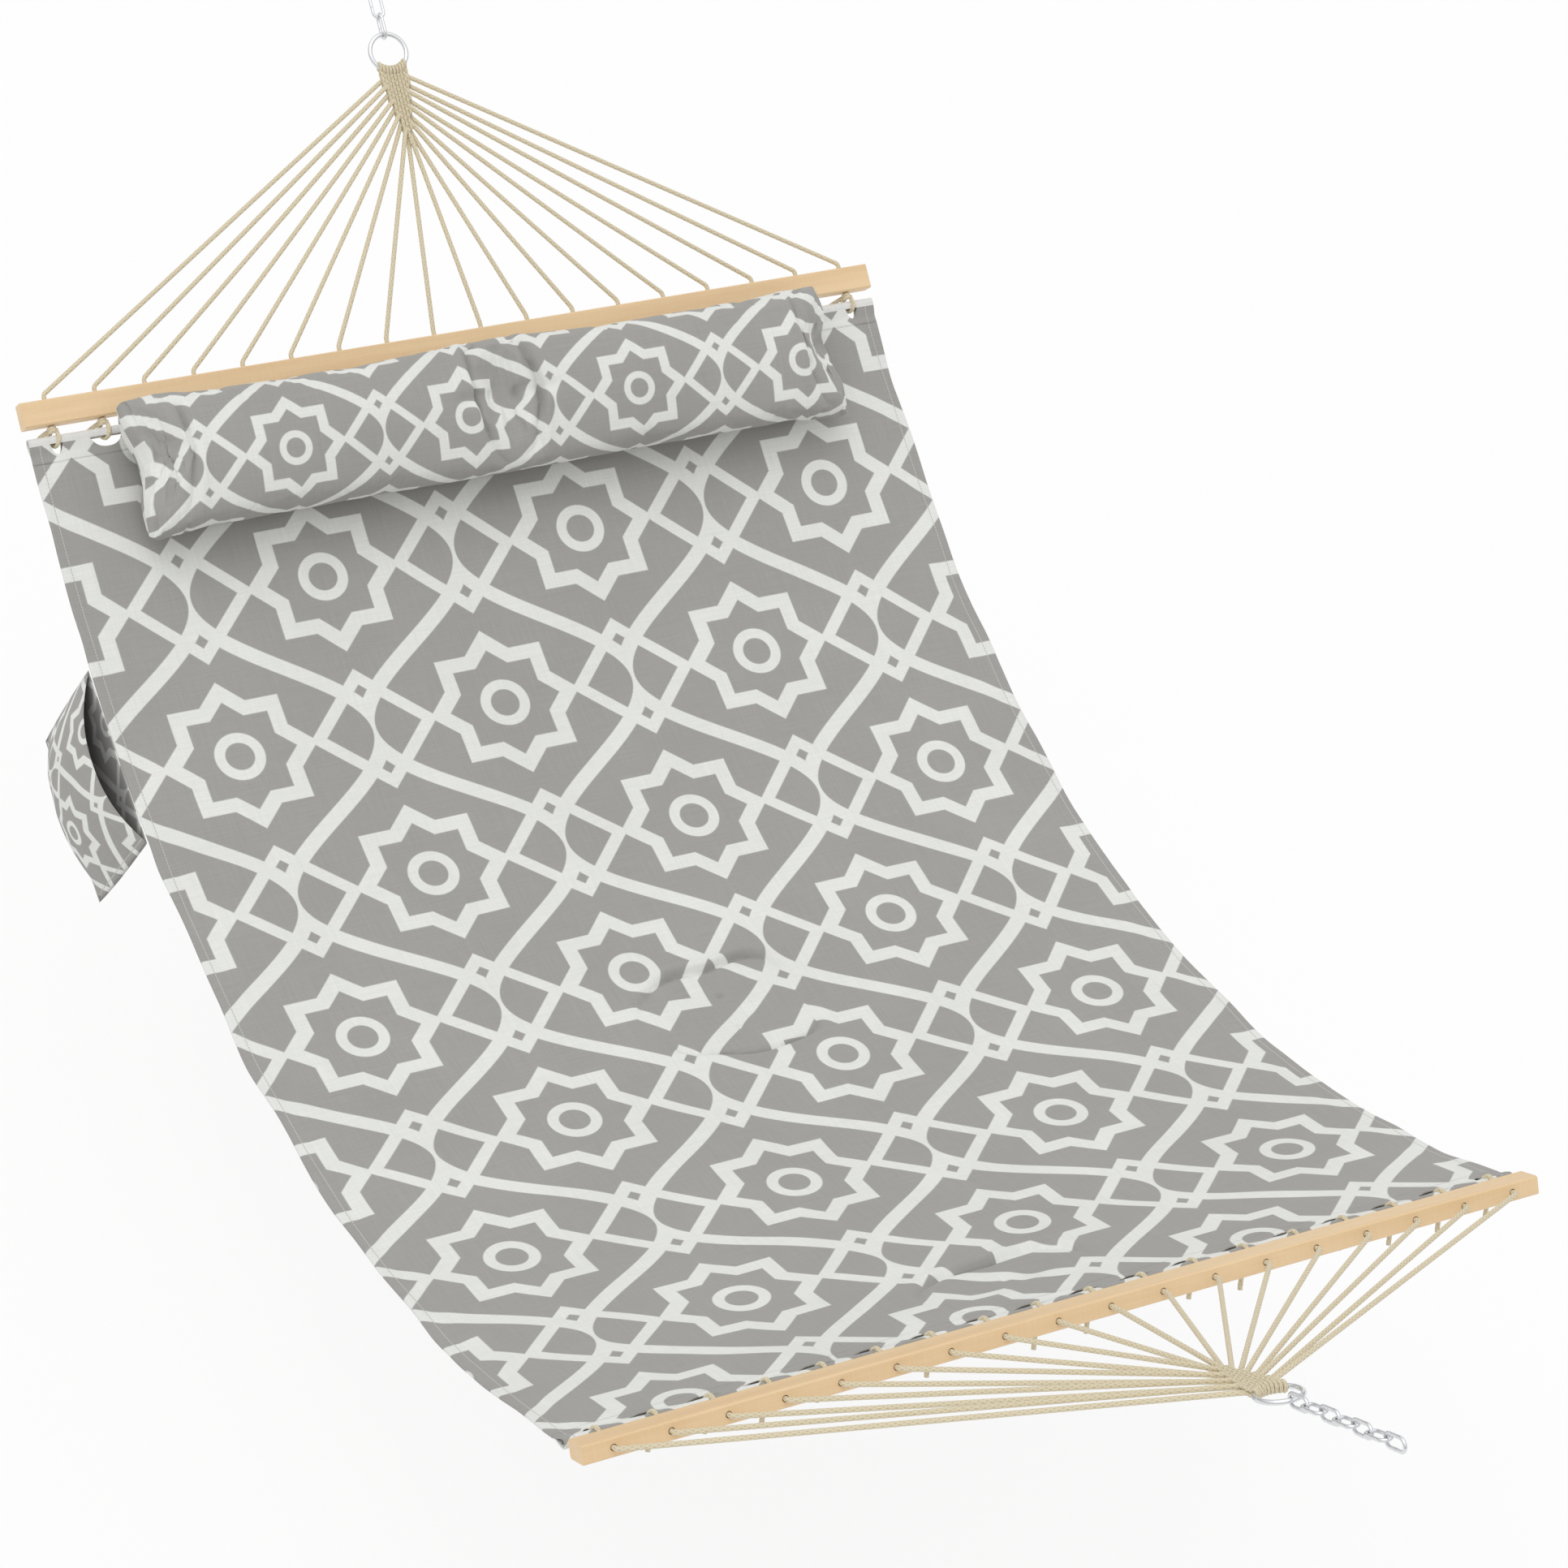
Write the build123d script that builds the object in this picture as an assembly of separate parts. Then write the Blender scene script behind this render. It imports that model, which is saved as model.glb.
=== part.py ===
# Quilted spreader-bar hammock, hung by a ring and a chain at each end.
# The origin is the hook's seat in the head end link. +X runs from the head hook to the foot hook,
# +Y to the sleeper's left as they look towards the foot, and +Z is up. Sizes are in millimetres.
import os
from itertools import pairwise
from math import acos, asinh, atan, atan2, cos, cosh, pi, radians, sin, sinh, tan

from build123d import *

# Hanging line
BAR_HALF_SPACING = 984.0
END_SLOPE = radians(37.0)
FAN_LENGTH = 443.0
GAP = 0.3

# Chain and ring
LINK_COUNT = 7
LINK_WIRE = 5.0
LINK_INNER_LENGTH = 33.0
LINK_INNER_WIDTH = 12.0
LINK_END_FACETS = 6
RING_WIRE = 7.0
RING_OUTER = 65.0
RING_FACETS = 24
WIRE_SIDES = 8

# Spreader bars
BAR_LENGTH = 1397.0
BAR_WIDTH = 38.0
BAR_THICKNESS = 25.0
BAR_EDGE = 2.0
HOLE_COUNT = 18
HOLE_PITCH = 77.3
HOLE_DIAMETER = 9.0
HOLE_SIDES = 10

# Cords and clew
CORD_DIAMETER = 7.0
CORD_SIDES = 6
CORD_STUB = 9.0
CORD_BEND = 5.0
KNOT_DIAMETER = 16.0
KNOT_LENGTH = 13.0
KNOT_ROUNDING = 3.0
LOOP_FACETS = 5
CLEW_STRANDS = 9
CLEW_LENGTH = 114.0
CLEW_STRAND_WIDTH = 5.6
CLEW_STRAND_EDGE = 1.7
CLEW_THICKNESS = 11.0
CLEW_LOOP_RADIUS = 7.2
CLEW_LOOP_STEP = radians(10.8)
CLEW_LAST_CORD = 104.0
CLEW_CORD_TUCK = 4.0
CLEW_LAYER = 2.5

# Bed
BED_WIDTH = 1395.0
COVER_THICKNESS = 1.2
PADDING_THICKNESS = 5.6
BED_STATIONS = 13
HEM_FROM_BAR = 15.0
SLEEVE_LENGTH = 36.0
SLEEVE_OUTER = 14.0
SLEEVE_CLOTH = 1.8
SLEEVE_SIDES = 6
DOWEL_DIAMETER = 9.6
DOWEL_LENGTH = 1385.0
SLOT_WIDTH = 50.0
SLOT_FROM_BED = 6.0
SLOT_CORNER = 6.0

# Pillow
PILLOW_LENGTH = 1150.0
PILLOW_FROM_MIDDLE = -944.0
PILLOW_CLEARANCE = 3.0
PILLOW_HEART = 52.0
PILLOW_BOTTOM = ((-84, 17), (0, 0), (88, 16))
PILLOW_FRONT = ((88, 16), (103, 50), (84, 90))
PILLOW_TOP = ((84, 90), (4, 118), (-82, 106))
PILLOW_BACK = ((-82, 106), (-101, 62), (-84, 17))
PILLOW_ARC_FACETS = 4
PILLOW_END_SCALE = 0.88
PILLOW_SHOULDER = 18.0
TUFT_SPACING = 503.0
TUFT_REACH = 64.0
TUFT_SCALE = 0.94
TAPE_WIDTH = 30.0
TAPE_HOLES_APART = 6
TAPE_THICKNESS = 1.5
TAPE_ON_SLEEVE = 22.0
TAPE_PAST_HEM = 9.0
TAPE_RISE = 5.0

# Side pocket
POCKET_LENGTH = 280.0
POCKET_DEPTH = 210.0
POCKET_MIDDLE = -540.0
POCKET_CLOTH = 2.5
POCKET_MOUTH = 40.0
POCKET_BULGE = 52.0
POCKET_BELLY = 0.42
POCKET_TAPER = 0.8
POCKET_FOOT_OUT = 27.0
POCKET_FOOT_DEPTH = 9.0
POCKET_FACETS = 6

# Places along the hanging line, measured from the hook's seat
LINK_PITCH = LINK_INNER_LENGTH - GAP
RING_RADIUS = (RING_OUTER - RING_WIRE) / 2
RING_CENTRE = LINK_COUNT * LINK_PITCH + RING_RADIUS - RING_WIRE / 2
BAR_OUTER_FACE = RING_CENTRE + FAN_LENGTH
BAR_CENTRE = BAR_OUTER_FACE + BAR_WIDTH / 2
BAR_INNER_FACE = BAR_OUTER_FACE + BAR_WIDTH
SPAN = 2 * (BAR_HALF_SPACING + BAR_CENTRE * cos(END_SLOPE))
BAR_HEIGHT = -BAR_CENTRE * sin(END_SLOPE)

# The bed hangs in a catenary between the bars
CATENARY = BAR_HALF_SPACING / asinh(tan(END_SLOPE))
HALF_ARC = CATENARY * tan(END_SLOPE)
HEM_EDGE = HALF_ARC - BAR_WIDTH / 2 - HEM_FROM_BAR
BED_END = HEM_EDGE - SLEEVE_LENGTH
BED_TOP = PADDING_THICKNESS / 2 + COVER_THICKNESS

HEAD = Plane(
    origin=(0, 0, 0),
    x_dir=(cos(END_SLOPE), 0, -sin(END_SLOPE)),
    z_dir=(sin(END_SLOPE), 0, cos(END_SLOPE)),
)
MIDDLE = Plane(origin=(SPAN / 2, 0, 0), z_dir=(1, 0, 0))


def bed_plane(along, across=0.0):
    """The bed's mid surface at an arc length from the middle: x towards the foot, z out of the top."""
    x = CATENARY * asinh(along / CATENARY)
    drop = CATENARY * (cosh(x / CATENARY) - cosh(asinh(tan(END_SLOPE))))
    slope = atan(sinh(x / CATENARY))
    return Plane(
        origin=(SPAN / 2 + x, across, BAR_HEIGHT + drop),
        x_dir=(cos(slope), 0, sin(slope)),
        z_dir=(-sin(slope), 0, cos(slope)),
    )


def faceted_wire(points, diameter, sides):
    """A wire of flat facets along a polyline, mitred at its corners."""
    path = Polyline(*points)
    start = Plane(origin=path @ 0, z_dir=path % 0)
    section = start * RegularPolygon(diameter / 2, sides, rotation=180 / sides)
    return sweep(section, path=path, transition=Transition.RIGHT)


def chain_link(index):
    """One oval welded link on the hanging line. Every second link stands upright."""
    half_length = (LINK_INNER_LENGTH - LINK_INNER_WIDTH) / 2
    bend = (LINK_INNER_WIDTH + LINK_WIRE) / 2
    turns = [pi * (step + 0.5) / LINK_END_FACETS for step in range(LINK_END_FACETS)]
    reach = bend / cos(pi / 2 / LINK_END_FACETS)
    corners = [(half_length + reach * sin(turn), reach * cos(turn), 0) for turn in turns]
    half = faceted_wire([(0, bend, 0), *corners, (0, -bend, 0)], LINK_WIRE, WIRE_SIDES)
    link = half + mirror(half, about=Plane.YZ)
    upright = 90 if index % 2 == 0 else 0
    centre = index * LINK_PITCH + LINK_INNER_LENGTH / 2
    return Pos(centre, 0, 0) * Rot(upright, 0, 0) * link


def ring(wire_diameter):
    """The welded ring in the fan's plane."""
    reach = RING_RADIUS / cos(pi / RING_FACETS)
    half_turn = range(RING_FACETS // 2)
    turns = [2 * pi * (step + 0.5) / RING_FACETS for step in half_turn]
    corners = [(reach * cos(turn), reach * sin(turn), 0) for turn in turns]
    half = faceted_wire([(RING_RADIUS, 0, 0), *corners, (-RING_RADIUS, 0, 0)], wire_diameter, WIRE_SIDES)
    return Pos(RING_CENTRE, 0, 0) * (half + mirror(half, about=Plane.XZ))


def clew():
    """The woven wedge: strands looped over the ring, longest in the middle, in one block."""
    middle = CLEW_STRANDS // 2
    body = None
    for strand in range(-middle, middle + 1):
        turn = strand * CLEW_LOOP_STEP
        seat = Pos(RING_CENTRE + RING_RADIUS * cos(turn), RING_RADIUS * sin(turn), 0)
        loop_face = Rot(0, 0, strand * CLEW_LOOP_STEP * 180 / pi) * Rot(90, 0, 0)
        loop_section = seat * loop_face * RegularPolygon(CLEW_LOOP_RADIUS, WIRE_SIDES)
        loop = extrude(loop_section, amount=CLEW_STRAND_WIDTH / 2, both=True)
        length = CLEW_LENGTH * (1 - abs(strand) / (middle + 1)) + RING_OUTER / 2 - RING_RADIUS * cos(turn)
        bar = seat * Pos(length / 2, 0, 0) * Box(length, CLEW_STRAND_WIDTH, CLEW_THICKNESS)
        bar = chamfer(bar.edges().filter_by(Axis.X), CLEW_STRAND_EDGE)
        body = loop + bar if body is None else body + loop + bar
    return body - ring(RING_WIRE + 2 * GAP)


def clew_leaving_point(row):
    """Where a cord leaves the wedge's side, counted from the ring."""
    share = (row + 0.5) / CLEW_STRANDS
    half_width = RING_RADIUS * sin(CLEW_STRANDS // 2 * CLEW_LOOP_STEP) - CLEW_CORD_TUCK
    return RING_CENTRE + RING_OUTER / 2 + CLEW_LAST_CORD * share, half_width * (1 - share)


def dowel_place():
    """The dowel's centre, seen in the head end's plane."""
    centre = bed_plane(-BED_END).from_local_coords((SLEEVE_OUTER / 2 - SLEEVE_LENGTH, 0, 0))
    return HEAD.to_local_coords(centre)


def bed_loop():
    """The knot under the bar and the cord's loop round the hem's roll, on the line y = 0."""
    knot_start = BAR_INNER_FACE + GAP
    knot_face = Plane(origin=(knot_start, 0, 0), z_dir=(1, 0, 0))
    knot = extrude(knot_face * RegularPolygon(KNOT_DIAMETER / 2, CORD_SIDES), amount=KNOT_LENGTH)
    rims = knot.edges() - knot.edges().filter_by(Axis.X)
    knot = chamfer(rims, KNOT_ROUNDING)
    dowel = dowel_place()
    loop_radius = SLEEVE_OUTER / 2 + GAP + CORD_DIAMETER / 2
    leaving = []
    turns = []
    for side in (1, -1):
        leaves = Vector(knot_start + KNOT_LENGTH / 2, 0, side * CORD_DIAMETER / 2)
        away = leaves - dowel
        leaving.append(leaves)
        turns.append(atan2(away.Z, away.X) % (2 * pi) - side * acos(loop_radius / away.length))
    step = (turns[1] - 2 * pi - turns[0]) / LOOP_FACETS
    reach = loop_radius / cos(step / 2)
    angles = [turns[0] + step * (facet + 0.5) for facet in range(LOOP_FACETS)]
    corners = [dowel + Vector(cos(angle), 0, sin(angle)) * reach for angle in angles]
    return knot + faceted_wire([leaving[0], *corners, leaving[1]], CORD_DIAMETER, CORD_SIDES)


def cord_leg(row, lift, wedge, hitch):
    """One leg of a cord, from a face of the wedge through the bar to the hem. Row 0 is the outermost."""
    hole = (HOLE_COUNT / 2 - 0.5 - row) * HOLE_PITCH
    leaves = Vector(*clew_leaving_point(row), lift)
    corner = Vector(BAR_OUTER_FACE - CORD_STUB, hole, 0)
    before = corner + (leaves - corner).normalized() * CORD_BEND
    after = corner + Vector(CORD_BEND, 0, 0)
    ends = Vector(BAR_INNER_FACE + KNOT_LENGTH / 2, hole, 0)
    leg = faceted_wire([leaves, before, after, ends], CORD_DIAMETER, CORD_SIDES) - wedge
    return leg + Pos(0, hole, 0) * hitch


def fan_cord(row, wedge, hitch):
    """One cord's two legs, which leave from opposite faces of the wedge, as their neighbours do."""
    lift = CLEW_LAYER * (-1) ** row
    left = cord_leg(row, lift, wedge, hitch)
    right = mirror(cord_leg(row, -lift, wedge, hitch), about=Plane.XZ)
    return Compound(children=[left.solid(), right.solid()])


def spreader_bar():
    """The flat hardwood bar with a row of holes for the cords."""
    bar = Pos(BAR_CENTRE, 0, 0) * Box(BAR_WIDTH, BAR_LENGTH, BAR_THICKNESS)
    bar = chamfer(bar.edges().filter_by(Axis.Y), BAR_EDGE)
    row = GridLocations(0, HOLE_PITCH, 1, HOLE_COUNT)
    across = Plane(origin=(BAR_CENTRE, 0, 0), z_dir=(1, 0, 0))
    hole = RegularPolygon(HOLE_DIAMETER / 2, HOLE_SIDES, major_radius=False)
    drill = extrude(across * hole, amount=BAR_WIDTH, both=True)
    return bar - [place * drill for place in row]


def dowel():
    """The rod in the hem's roll that the cords' loops pull on."""
    return Pos(*dowel_place()) * Rot(90, 0, 0) * Cylinder(DOWEL_DIAMETER / 2, DOWEL_LENGTH)


def hem_sleeve():
    """The cloth rolled round the dowel and sewn to itself, with a slot for each loop behind the roll."""
    half_height = SLEEVE_OUTER / 2
    heart = half_height - SLEEVE_LENGTH
    bed_end = bed_plane(-BED_END)
    plane = Plane(origin=bed_end.origin, x_dir=bed_end.x_dir, z_dir=(0, -1, 0))
    roll = Pos(heart, 0) * RegularPolygon(half_height, 2 * SLEEVE_SIDES)
    core = Pos(heart, 0) * RegularPolygon(half_height - SLEEVE_CLOTH, SLEEVE_SIDES, major_radius=False)
    seam = Polyline((heart, half_height), (0, BED_TOP), (0, -BED_TOP), (heart, -half_height), close=True)
    flat = extrude(plane * make_face(seam), amount=BED_WIDTH / 2, both=True)
    opening = Rectangle(-heart - SLOT_FROM_BED, SLOT_WIDTH)
    opening = chamfer(opening.vertices().group_by(Axis.X)[-1], SLOT_CORNER)
    slot = extrude(Pos((heart - SLOT_FROM_BED) / 2, 0) * opening, amount=SLEEVE_OUTER, both=True)
    row = GridLocations(0, HOLE_PITCH, 1, HOLE_COUNT)
    flat = flat - [bed_end.location * place * slot for place in row]
    outside = extrude(plane * roll, amount=BED_WIDTH / 2, both=True)
    inside = extrude(plane * core, amount=BED_WIDTH / 2, both=True)
    return flat + outside - inside


def bed_curve(height):
    """The bed's line at a height over its mid surface, as arcs that follow the catenary."""
    stations = [BED_END * (2 * step / (BED_STATIONS - 1) - 1) for step in range(BED_STATIONS)]
    points = [bed_plane(along).from_local_coords((0, 0, height)) for along in stations]
    return [ThreePointArc(*points[first:first + 3]).edge() for first in range(0, BED_STATIONS - 1, 2)]


def bed_layer(low, high):
    """One layer of the quilted bed between two heights over its mid surface."""
    under = bed_curve(low)
    over = bed_curve(high)
    head_edge = Line(under[0] @ 0, over[0] @ 0).edge()
    foot_edge = Line(under[-1] @ 1, over[-1] @ 1).edge()
    side = make_face([*under, foot_edge, *over, head_edge])
    return extrude(side, amount=BED_WIDTH / 2, dir=(0, 1, 0), both=True)


def pillow_section(across, scale):
    """The bolster's outline in flat facets at one place across the bed, drawn in towards its heart."""
    heart = Vector(0, PILLOW_HEART)
    points = []
    for stretch in (PILLOW_BOTTOM, PILLOW_FRONT, PILLOW_TOP, PILLOW_BACK):
        arc = ThreePointArc(*[heart + (Vector(*point) - heart) * scale for point in stretch])
        points.extend(arc @ (facet / PILLOW_ARC_FACETS) for facet in range(PILLOW_ARC_FACETS))
    seat = bed_plane(PILLOW_FROM_MIDDLE, across)
    plane = Plane(
        origin=seat.from_local_coords((0, 0, BED_TOP + PILLOW_CLEARANCE)),
        x_dir=seat.x_dir,
        z_dir=(0, -1, 0),
    )
    return plane * make_face(Polyline(*points, close=True))


def pillow():
    """The stuffed bolster with squared ends, drawn in at three sewn tufts."""
    half = PILLOW_LENGTH / 2
    stations = [
        (half, PILLOW_END_SCALE),
        (half - PILLOW_SHOULDER, 1.0),
        (TUFT_SPACING, TUFT_SCALE),
        (TUFT_SPACING - TUFT_REACH, 1.0),
        (TUFT_REACH, 1.0),
    ]
    mirrored = [(-across, scale) for across, scale in reversed(stations)]
    sections = [pillow_section(*station) for station in [*stations, (0, TUFT_SCALE), *mirrored]]
    return loft(sections, ruled=True)


def pillow_tapes():
    """Three flat tapes sewn to the hem that tie the pillow's back edge down."""
    apart = TAPE_HOLES_APART * HOLE_PITCH
    bed_end = bed_plane(-BED_END)
    low = SLEEVE_OUTER / 2 + GAP
    under = [
        (-TAPE_ON_SLEEVE, low),
        (-SLEEVE_LENGTH, low),
        (-SLEEVE_LENGTH - TAPE_PAST_HEM, low + TAPE_RISE),
    ]
    over = [(x, z + TAPE_THICKNESS) for x, z in reversed(under)]
    plane = Plane(origin=bed_end.origin, x_dir=bed_end.x_dir, z_dir=(0, -1, 0))
    strip = make_face(Polyline(*under, *over, close=True))
    tape = extrude(plane * strip, amount=TAPE_WIDTH / 2, both=True)
    return Compound(children=[Pos(0, across, 0) * tape.solid() for across in (-apart, 0, apart)])


def pocket_line(share, bulge, inset):
    """The bowed panel's points at a share of the pouch's depth, from one edge to the other."""
    hang = bed_plane(POCKET_MIDDLE, -BED_WIDTH / 2 - GAP)
    floor_lift = inset if share == 1.0 else 0.0
    level = (0, -POCKET_FOOT_OUT * share - inset, floor_lift - POCKET_DEPTH * share)
    half = POCKET_LENGTH / 2 - 2 * inset
    bow = ThreePointArc((-half, 0), (0, 2 * inset - bulge), (half, 0))
    plane = Plane(origin=hang.from_local_coords(level), x_dir=hang.x_dir, z_dir=hang.z_dir)
    return [plane.from_local_coords(bow @ (facet / POCKET_FACETS)) for facet in range(POCKET_FACETS + 1)]


def pocket_space(inset):
    """The pouch's filled shape under the bed's edge, of flat facets, smaller all round by an inset."""
    bows = {
        0.0: POCKET_MOUTH,
        POCKET_BELLY: POCKET_BULGE,
        POCKET_TAPER: POCKET_BULGE * POCKET_TAPER,
        1.0: POCKET_FOOT_DEPTH,
    }
    lines = [pocket_line(share, bulge, inset) for share, bulge in bows.items()]
    outlines = [lines[0], lines[-1]]
    for above, below in pairwise(lines):
        outlines.append([above[0], above[-1], below[-1], below[0]])
        for left in range(POCKET_FACETS):
            right = left + 1
            near, far = (left, right) if right > POCKET_FACETS / 2 else (right, left)
            outlines.append([above[near], above[far], below[near]])
            outlines.append([above[far], below[far], below[near]])
    return Solid(Shell([make_face(Polyline(*outline, close=True)).face() for outline in outlines]))


def side_pocket():
    """The sewn pouch on the bed's side edge, open at the top."""
    return pocket_space(0.0) - pocket_space(POCKET_CLOTH)


def build():
    """Every node by name, in the part's frame."""
    wedge = clew()
    hitch = bed_loop()
    end = {f"chain_link_{index + 1}": chain_link(index) for index in range(1, LINK_COUNT)}
    end["hook_link"] = chain_link(0)
    end["ring"] = ring(RING_WIRE)
    end["clew"] = wedge
    end["spreader_bar"] = spreader_bar()
    end["dowel"] = dowel()
    for row in range(HOLE_COUNT // 2):
        end[f"cord_{row + 1}"] = fan_cord(row, wedge, hitch)
    nodes = {}
    for name, shape in end.items():
        nodes[f"head_{name}"] = HEAD.location * shape
    nodes["head_hem_sleeve"] = hem_sleeve()
    for name in list(nodes):
        nodes[name.replace("head_", "foot_")] = mirror(nodes[name], about=MIDDLE)
    core = PADDING_THICKNESS / 2
    nodes["bed_top_cover"] = bed_layer(core, core + COVER_THICKNESS)
    nodes["bed_padding"] = bed_layer(-core, core)
    nodes["bed_under_cover"] = bed_layer(-core - COVER_THICKNESS, -core)
    nodes["pillow"] = pillow()
    nodes["pillow_tapes"] = pillow_tapes()
    nodes["side_pocket"] = side_pocket()
    return nodes


if __name__ == "__main__":
    os.makedirs("parts", exist_ok=True)
    for name, shape in build().items():
        export_step(shape, f"parts/{name}.step")
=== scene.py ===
from math import acos, asinh, atan2, cos, cosh, hypot, pi, radians, sin, tan

import bmesh
import bpy
import numpy as np
from mathutils import Matrix, Vector


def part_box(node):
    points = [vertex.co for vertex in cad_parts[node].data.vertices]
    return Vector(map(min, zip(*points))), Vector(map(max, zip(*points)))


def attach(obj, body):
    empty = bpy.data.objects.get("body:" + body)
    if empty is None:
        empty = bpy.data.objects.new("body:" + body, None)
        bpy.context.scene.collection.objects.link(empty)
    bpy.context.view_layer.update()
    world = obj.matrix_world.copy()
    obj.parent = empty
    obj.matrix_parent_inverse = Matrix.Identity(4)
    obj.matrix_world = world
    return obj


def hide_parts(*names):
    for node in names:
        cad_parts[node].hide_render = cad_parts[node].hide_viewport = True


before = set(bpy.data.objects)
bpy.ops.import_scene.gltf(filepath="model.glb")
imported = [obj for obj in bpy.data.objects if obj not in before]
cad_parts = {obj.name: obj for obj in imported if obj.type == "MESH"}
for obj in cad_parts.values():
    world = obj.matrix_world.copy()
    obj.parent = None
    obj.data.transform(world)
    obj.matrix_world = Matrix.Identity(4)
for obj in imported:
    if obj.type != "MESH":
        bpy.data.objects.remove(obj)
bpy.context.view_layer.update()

# Camera, fitted to the picture's bars and bed edges; its place is from the middle between the bars
CAMERA_PLACE = Vector((3.7989, -2.6511, 4.3100))
CAMERA_AZIMUTH = 0.94882
CAMERA_ELEVATION = 0.74743
CAMERA_ROLL = 0.23807
CAMERA_LENS = 104.86
SENSOR = 36.0

# Light
AMBIENT = 0.80
SUN_STRENGTH = 0.75
SUN_FROM = Vector((0.02, -0.25, 0.96))
SUN_SPREAD = radians(50)
SHINE_BELOW = 0.34
SHINE_RISE = 0.72
FLOOR_HEIGHT = -1.45
FLOOR_SIZE = 60.0
FLOOR_GLOW = 0.86
FLOOR_PAINT = (0.9, 0.9, 0.9, 1)

# Sizes that the solids share
END_SLOPE = radians(37.0)
BAR_WIDTH = 0.038
HOLE_COUNT = 18
HOLE_PITCH = 0.0773
CORD_DIAMETER = 0.007
CORD_STUB = 0.009
RING_RADIUS = 0.029
RING_WIRE = 0.007
LINK_COUNT = 7
LINK_WIRE = 0.005
LINK_INNER_LENGTH = 0.033
LINK_INNER_WIDTH = 0.012
LINK_PITCH = 0.0327
CLEW_STRANDS = 9
CLEW_LENGTH = 0.114
CLEW_LOOP_STEP = radians(10.8)
CLEW_LAST_CORD = 0.104
CLEW_CORD_TUCK = 0.004
CLEW_LAYER = 0.0025
BED_HALF_WIDTH = 0.6975
BED_HALF_THICKNESS = 0.004
HEM_FROM_BAR = 0.015
SLEEVE_LENGTH = 0.036
SLEEVE_RADIUS = 0.007
PILLOW_LENGTH = 1.150
PILLOW_FROM_MIDDLE = -0.944
PILLOW_CLEARANCE = 0.003
POCKET_LENGTH = 0.280
POCKET_DEPTH = 0.210
POCKET_MIDDLE = -0.540
POCKET_FOOT_OUT = 0.027

# Cords: the braid, the knots under a bar with their loops and tails, and the weave of the clew
CORD_SIDES = 10
BRAID_PITCH = 0.0105
BRAID_STRANDS = 4
KNOT_TURNS = 1.7
KNOT_RADIUS = 0.0048
KNOT_LENGTH = 0.0075
HITCH_RADIUS = 0.0033
LOOP_LEAN = 0.0055
LOOP_SUNK = 0.0015
COLLAR_TUCK = 0.004
KNOT_TAILS = (0.020, 0.042)
TAIL_INWARD = 0.004
TAIL_ASIDE = 0.014
TAIL_START = 0.003
WARP_RADIUS = 0.0026
WARP_LAYER = 0.0032
WARP_TURN = (0.35 * pi, 1.65 * pi)
WEFT_RADIUS = 0.0014
WEFT_PITCH = 0.0046
WEFT_STEP = 0.003
WEFT_TUCK = 0.002
WEFT_TUCK_LAYER = 0.0015
WEAVE_LIFT = 0.0008

# Chain: how much thicker a link is at its weld, and where that ends as a share of half its side
WELD_SWELL = 1.12
WELD_SHARE = 0.12

# Cloth in general: mesh step, weave, sewing and thickness
CLOTH_STEP = 0.008
CLOTH_THICKNESS = 0.0014
WEAVE_PITCH = 0.0011
STITCH = 0.0045
THREAD = 0.0006
THREAD_BLUR = 0.0003
BED_STITCH_INSET = 0.015
POCKET_STITCH_INSET = 0.009
PILLOW_PRINT = 0.66
POCKET_PRINT = 0.50

# Bed: its thin sewn edge, its waves as heights and sizes, and what holds its edge still
SEWN_EDGE = 0.024
SEWN_EDGE_HALF = 0.0021
EDGE_HALF = 0.0012
EDGE_TURN = 0.004
PADDING_RISE = 0.02
SEAM_DEPTH = 0.0008
SEAM_WIDTH = 0.003
WAVE_HEIGHT, WAVE_SIZE = 0.0018, 0.16
PULL_HEIGHT, PULL_SIZE = 0.0012, 0.045
RIM_HEIGHT, RIM_SIZE = 0.0042, 0.11
RIM_REACH = 0.10
EDGE_DRAWN, EDGE_DRAWN_SIZE = 0.0045, 0.13
EDGE_PULLED_IN = 0.002
HEM_HOLDS = 0.12
POCKET_HOLDS_ALONG = 0.06
POCKET_HOLDS_ACROSS = 0.12

# Tufts: the depth of each part of a tuft's crease, and where the parts lie
TUFT_HOLLOW = 0.0030
TUFT_GROOVE = 0.0090
TUFT_RIDGE = 0.0026
TUFT_BOWL = 0.0040
TUFT_SPOKES = 0.0014
TUFT_STITCH = 0.0040
GROOVE_WIDTH = 0.0042
RIDGE_PLACE = 0.011
RIDGE_WIDTH = 0.007
TUFT_STITCH_PLACE = 0.36
TUFT_STITCH_RADIUS = 0.005

# The bed's tufts from its middle towards the foot, with their half sizes and how deep they are
BED_TUFTS = (0.104, 0.915)
BED_TUFT_SIZE = (0.090, 0.120)
BED_TUFT_DEEPER = 1.25
BED_TUFT_MESH = 0.15

# Hems
HEM_RISE = 0.0002
HEM_OVERLAP = 0.004
HEM_PRESSED = (0.010, 0.0026)
HEM_FLATTENS = 0.018
PUCKER_HEIGHT, PUCKER_SIZE = 0.0006, 0.016
PUCKER_START = 0.02
SLOT_WIDTH = 0.050
SLIT_WIDTH = 0.018
SLOT_START = 0.0075
SLOT_END = 0.0230
SLOT_SQUARENESS = 2.2
SLOT_FULLNESS = 0.7

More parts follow.
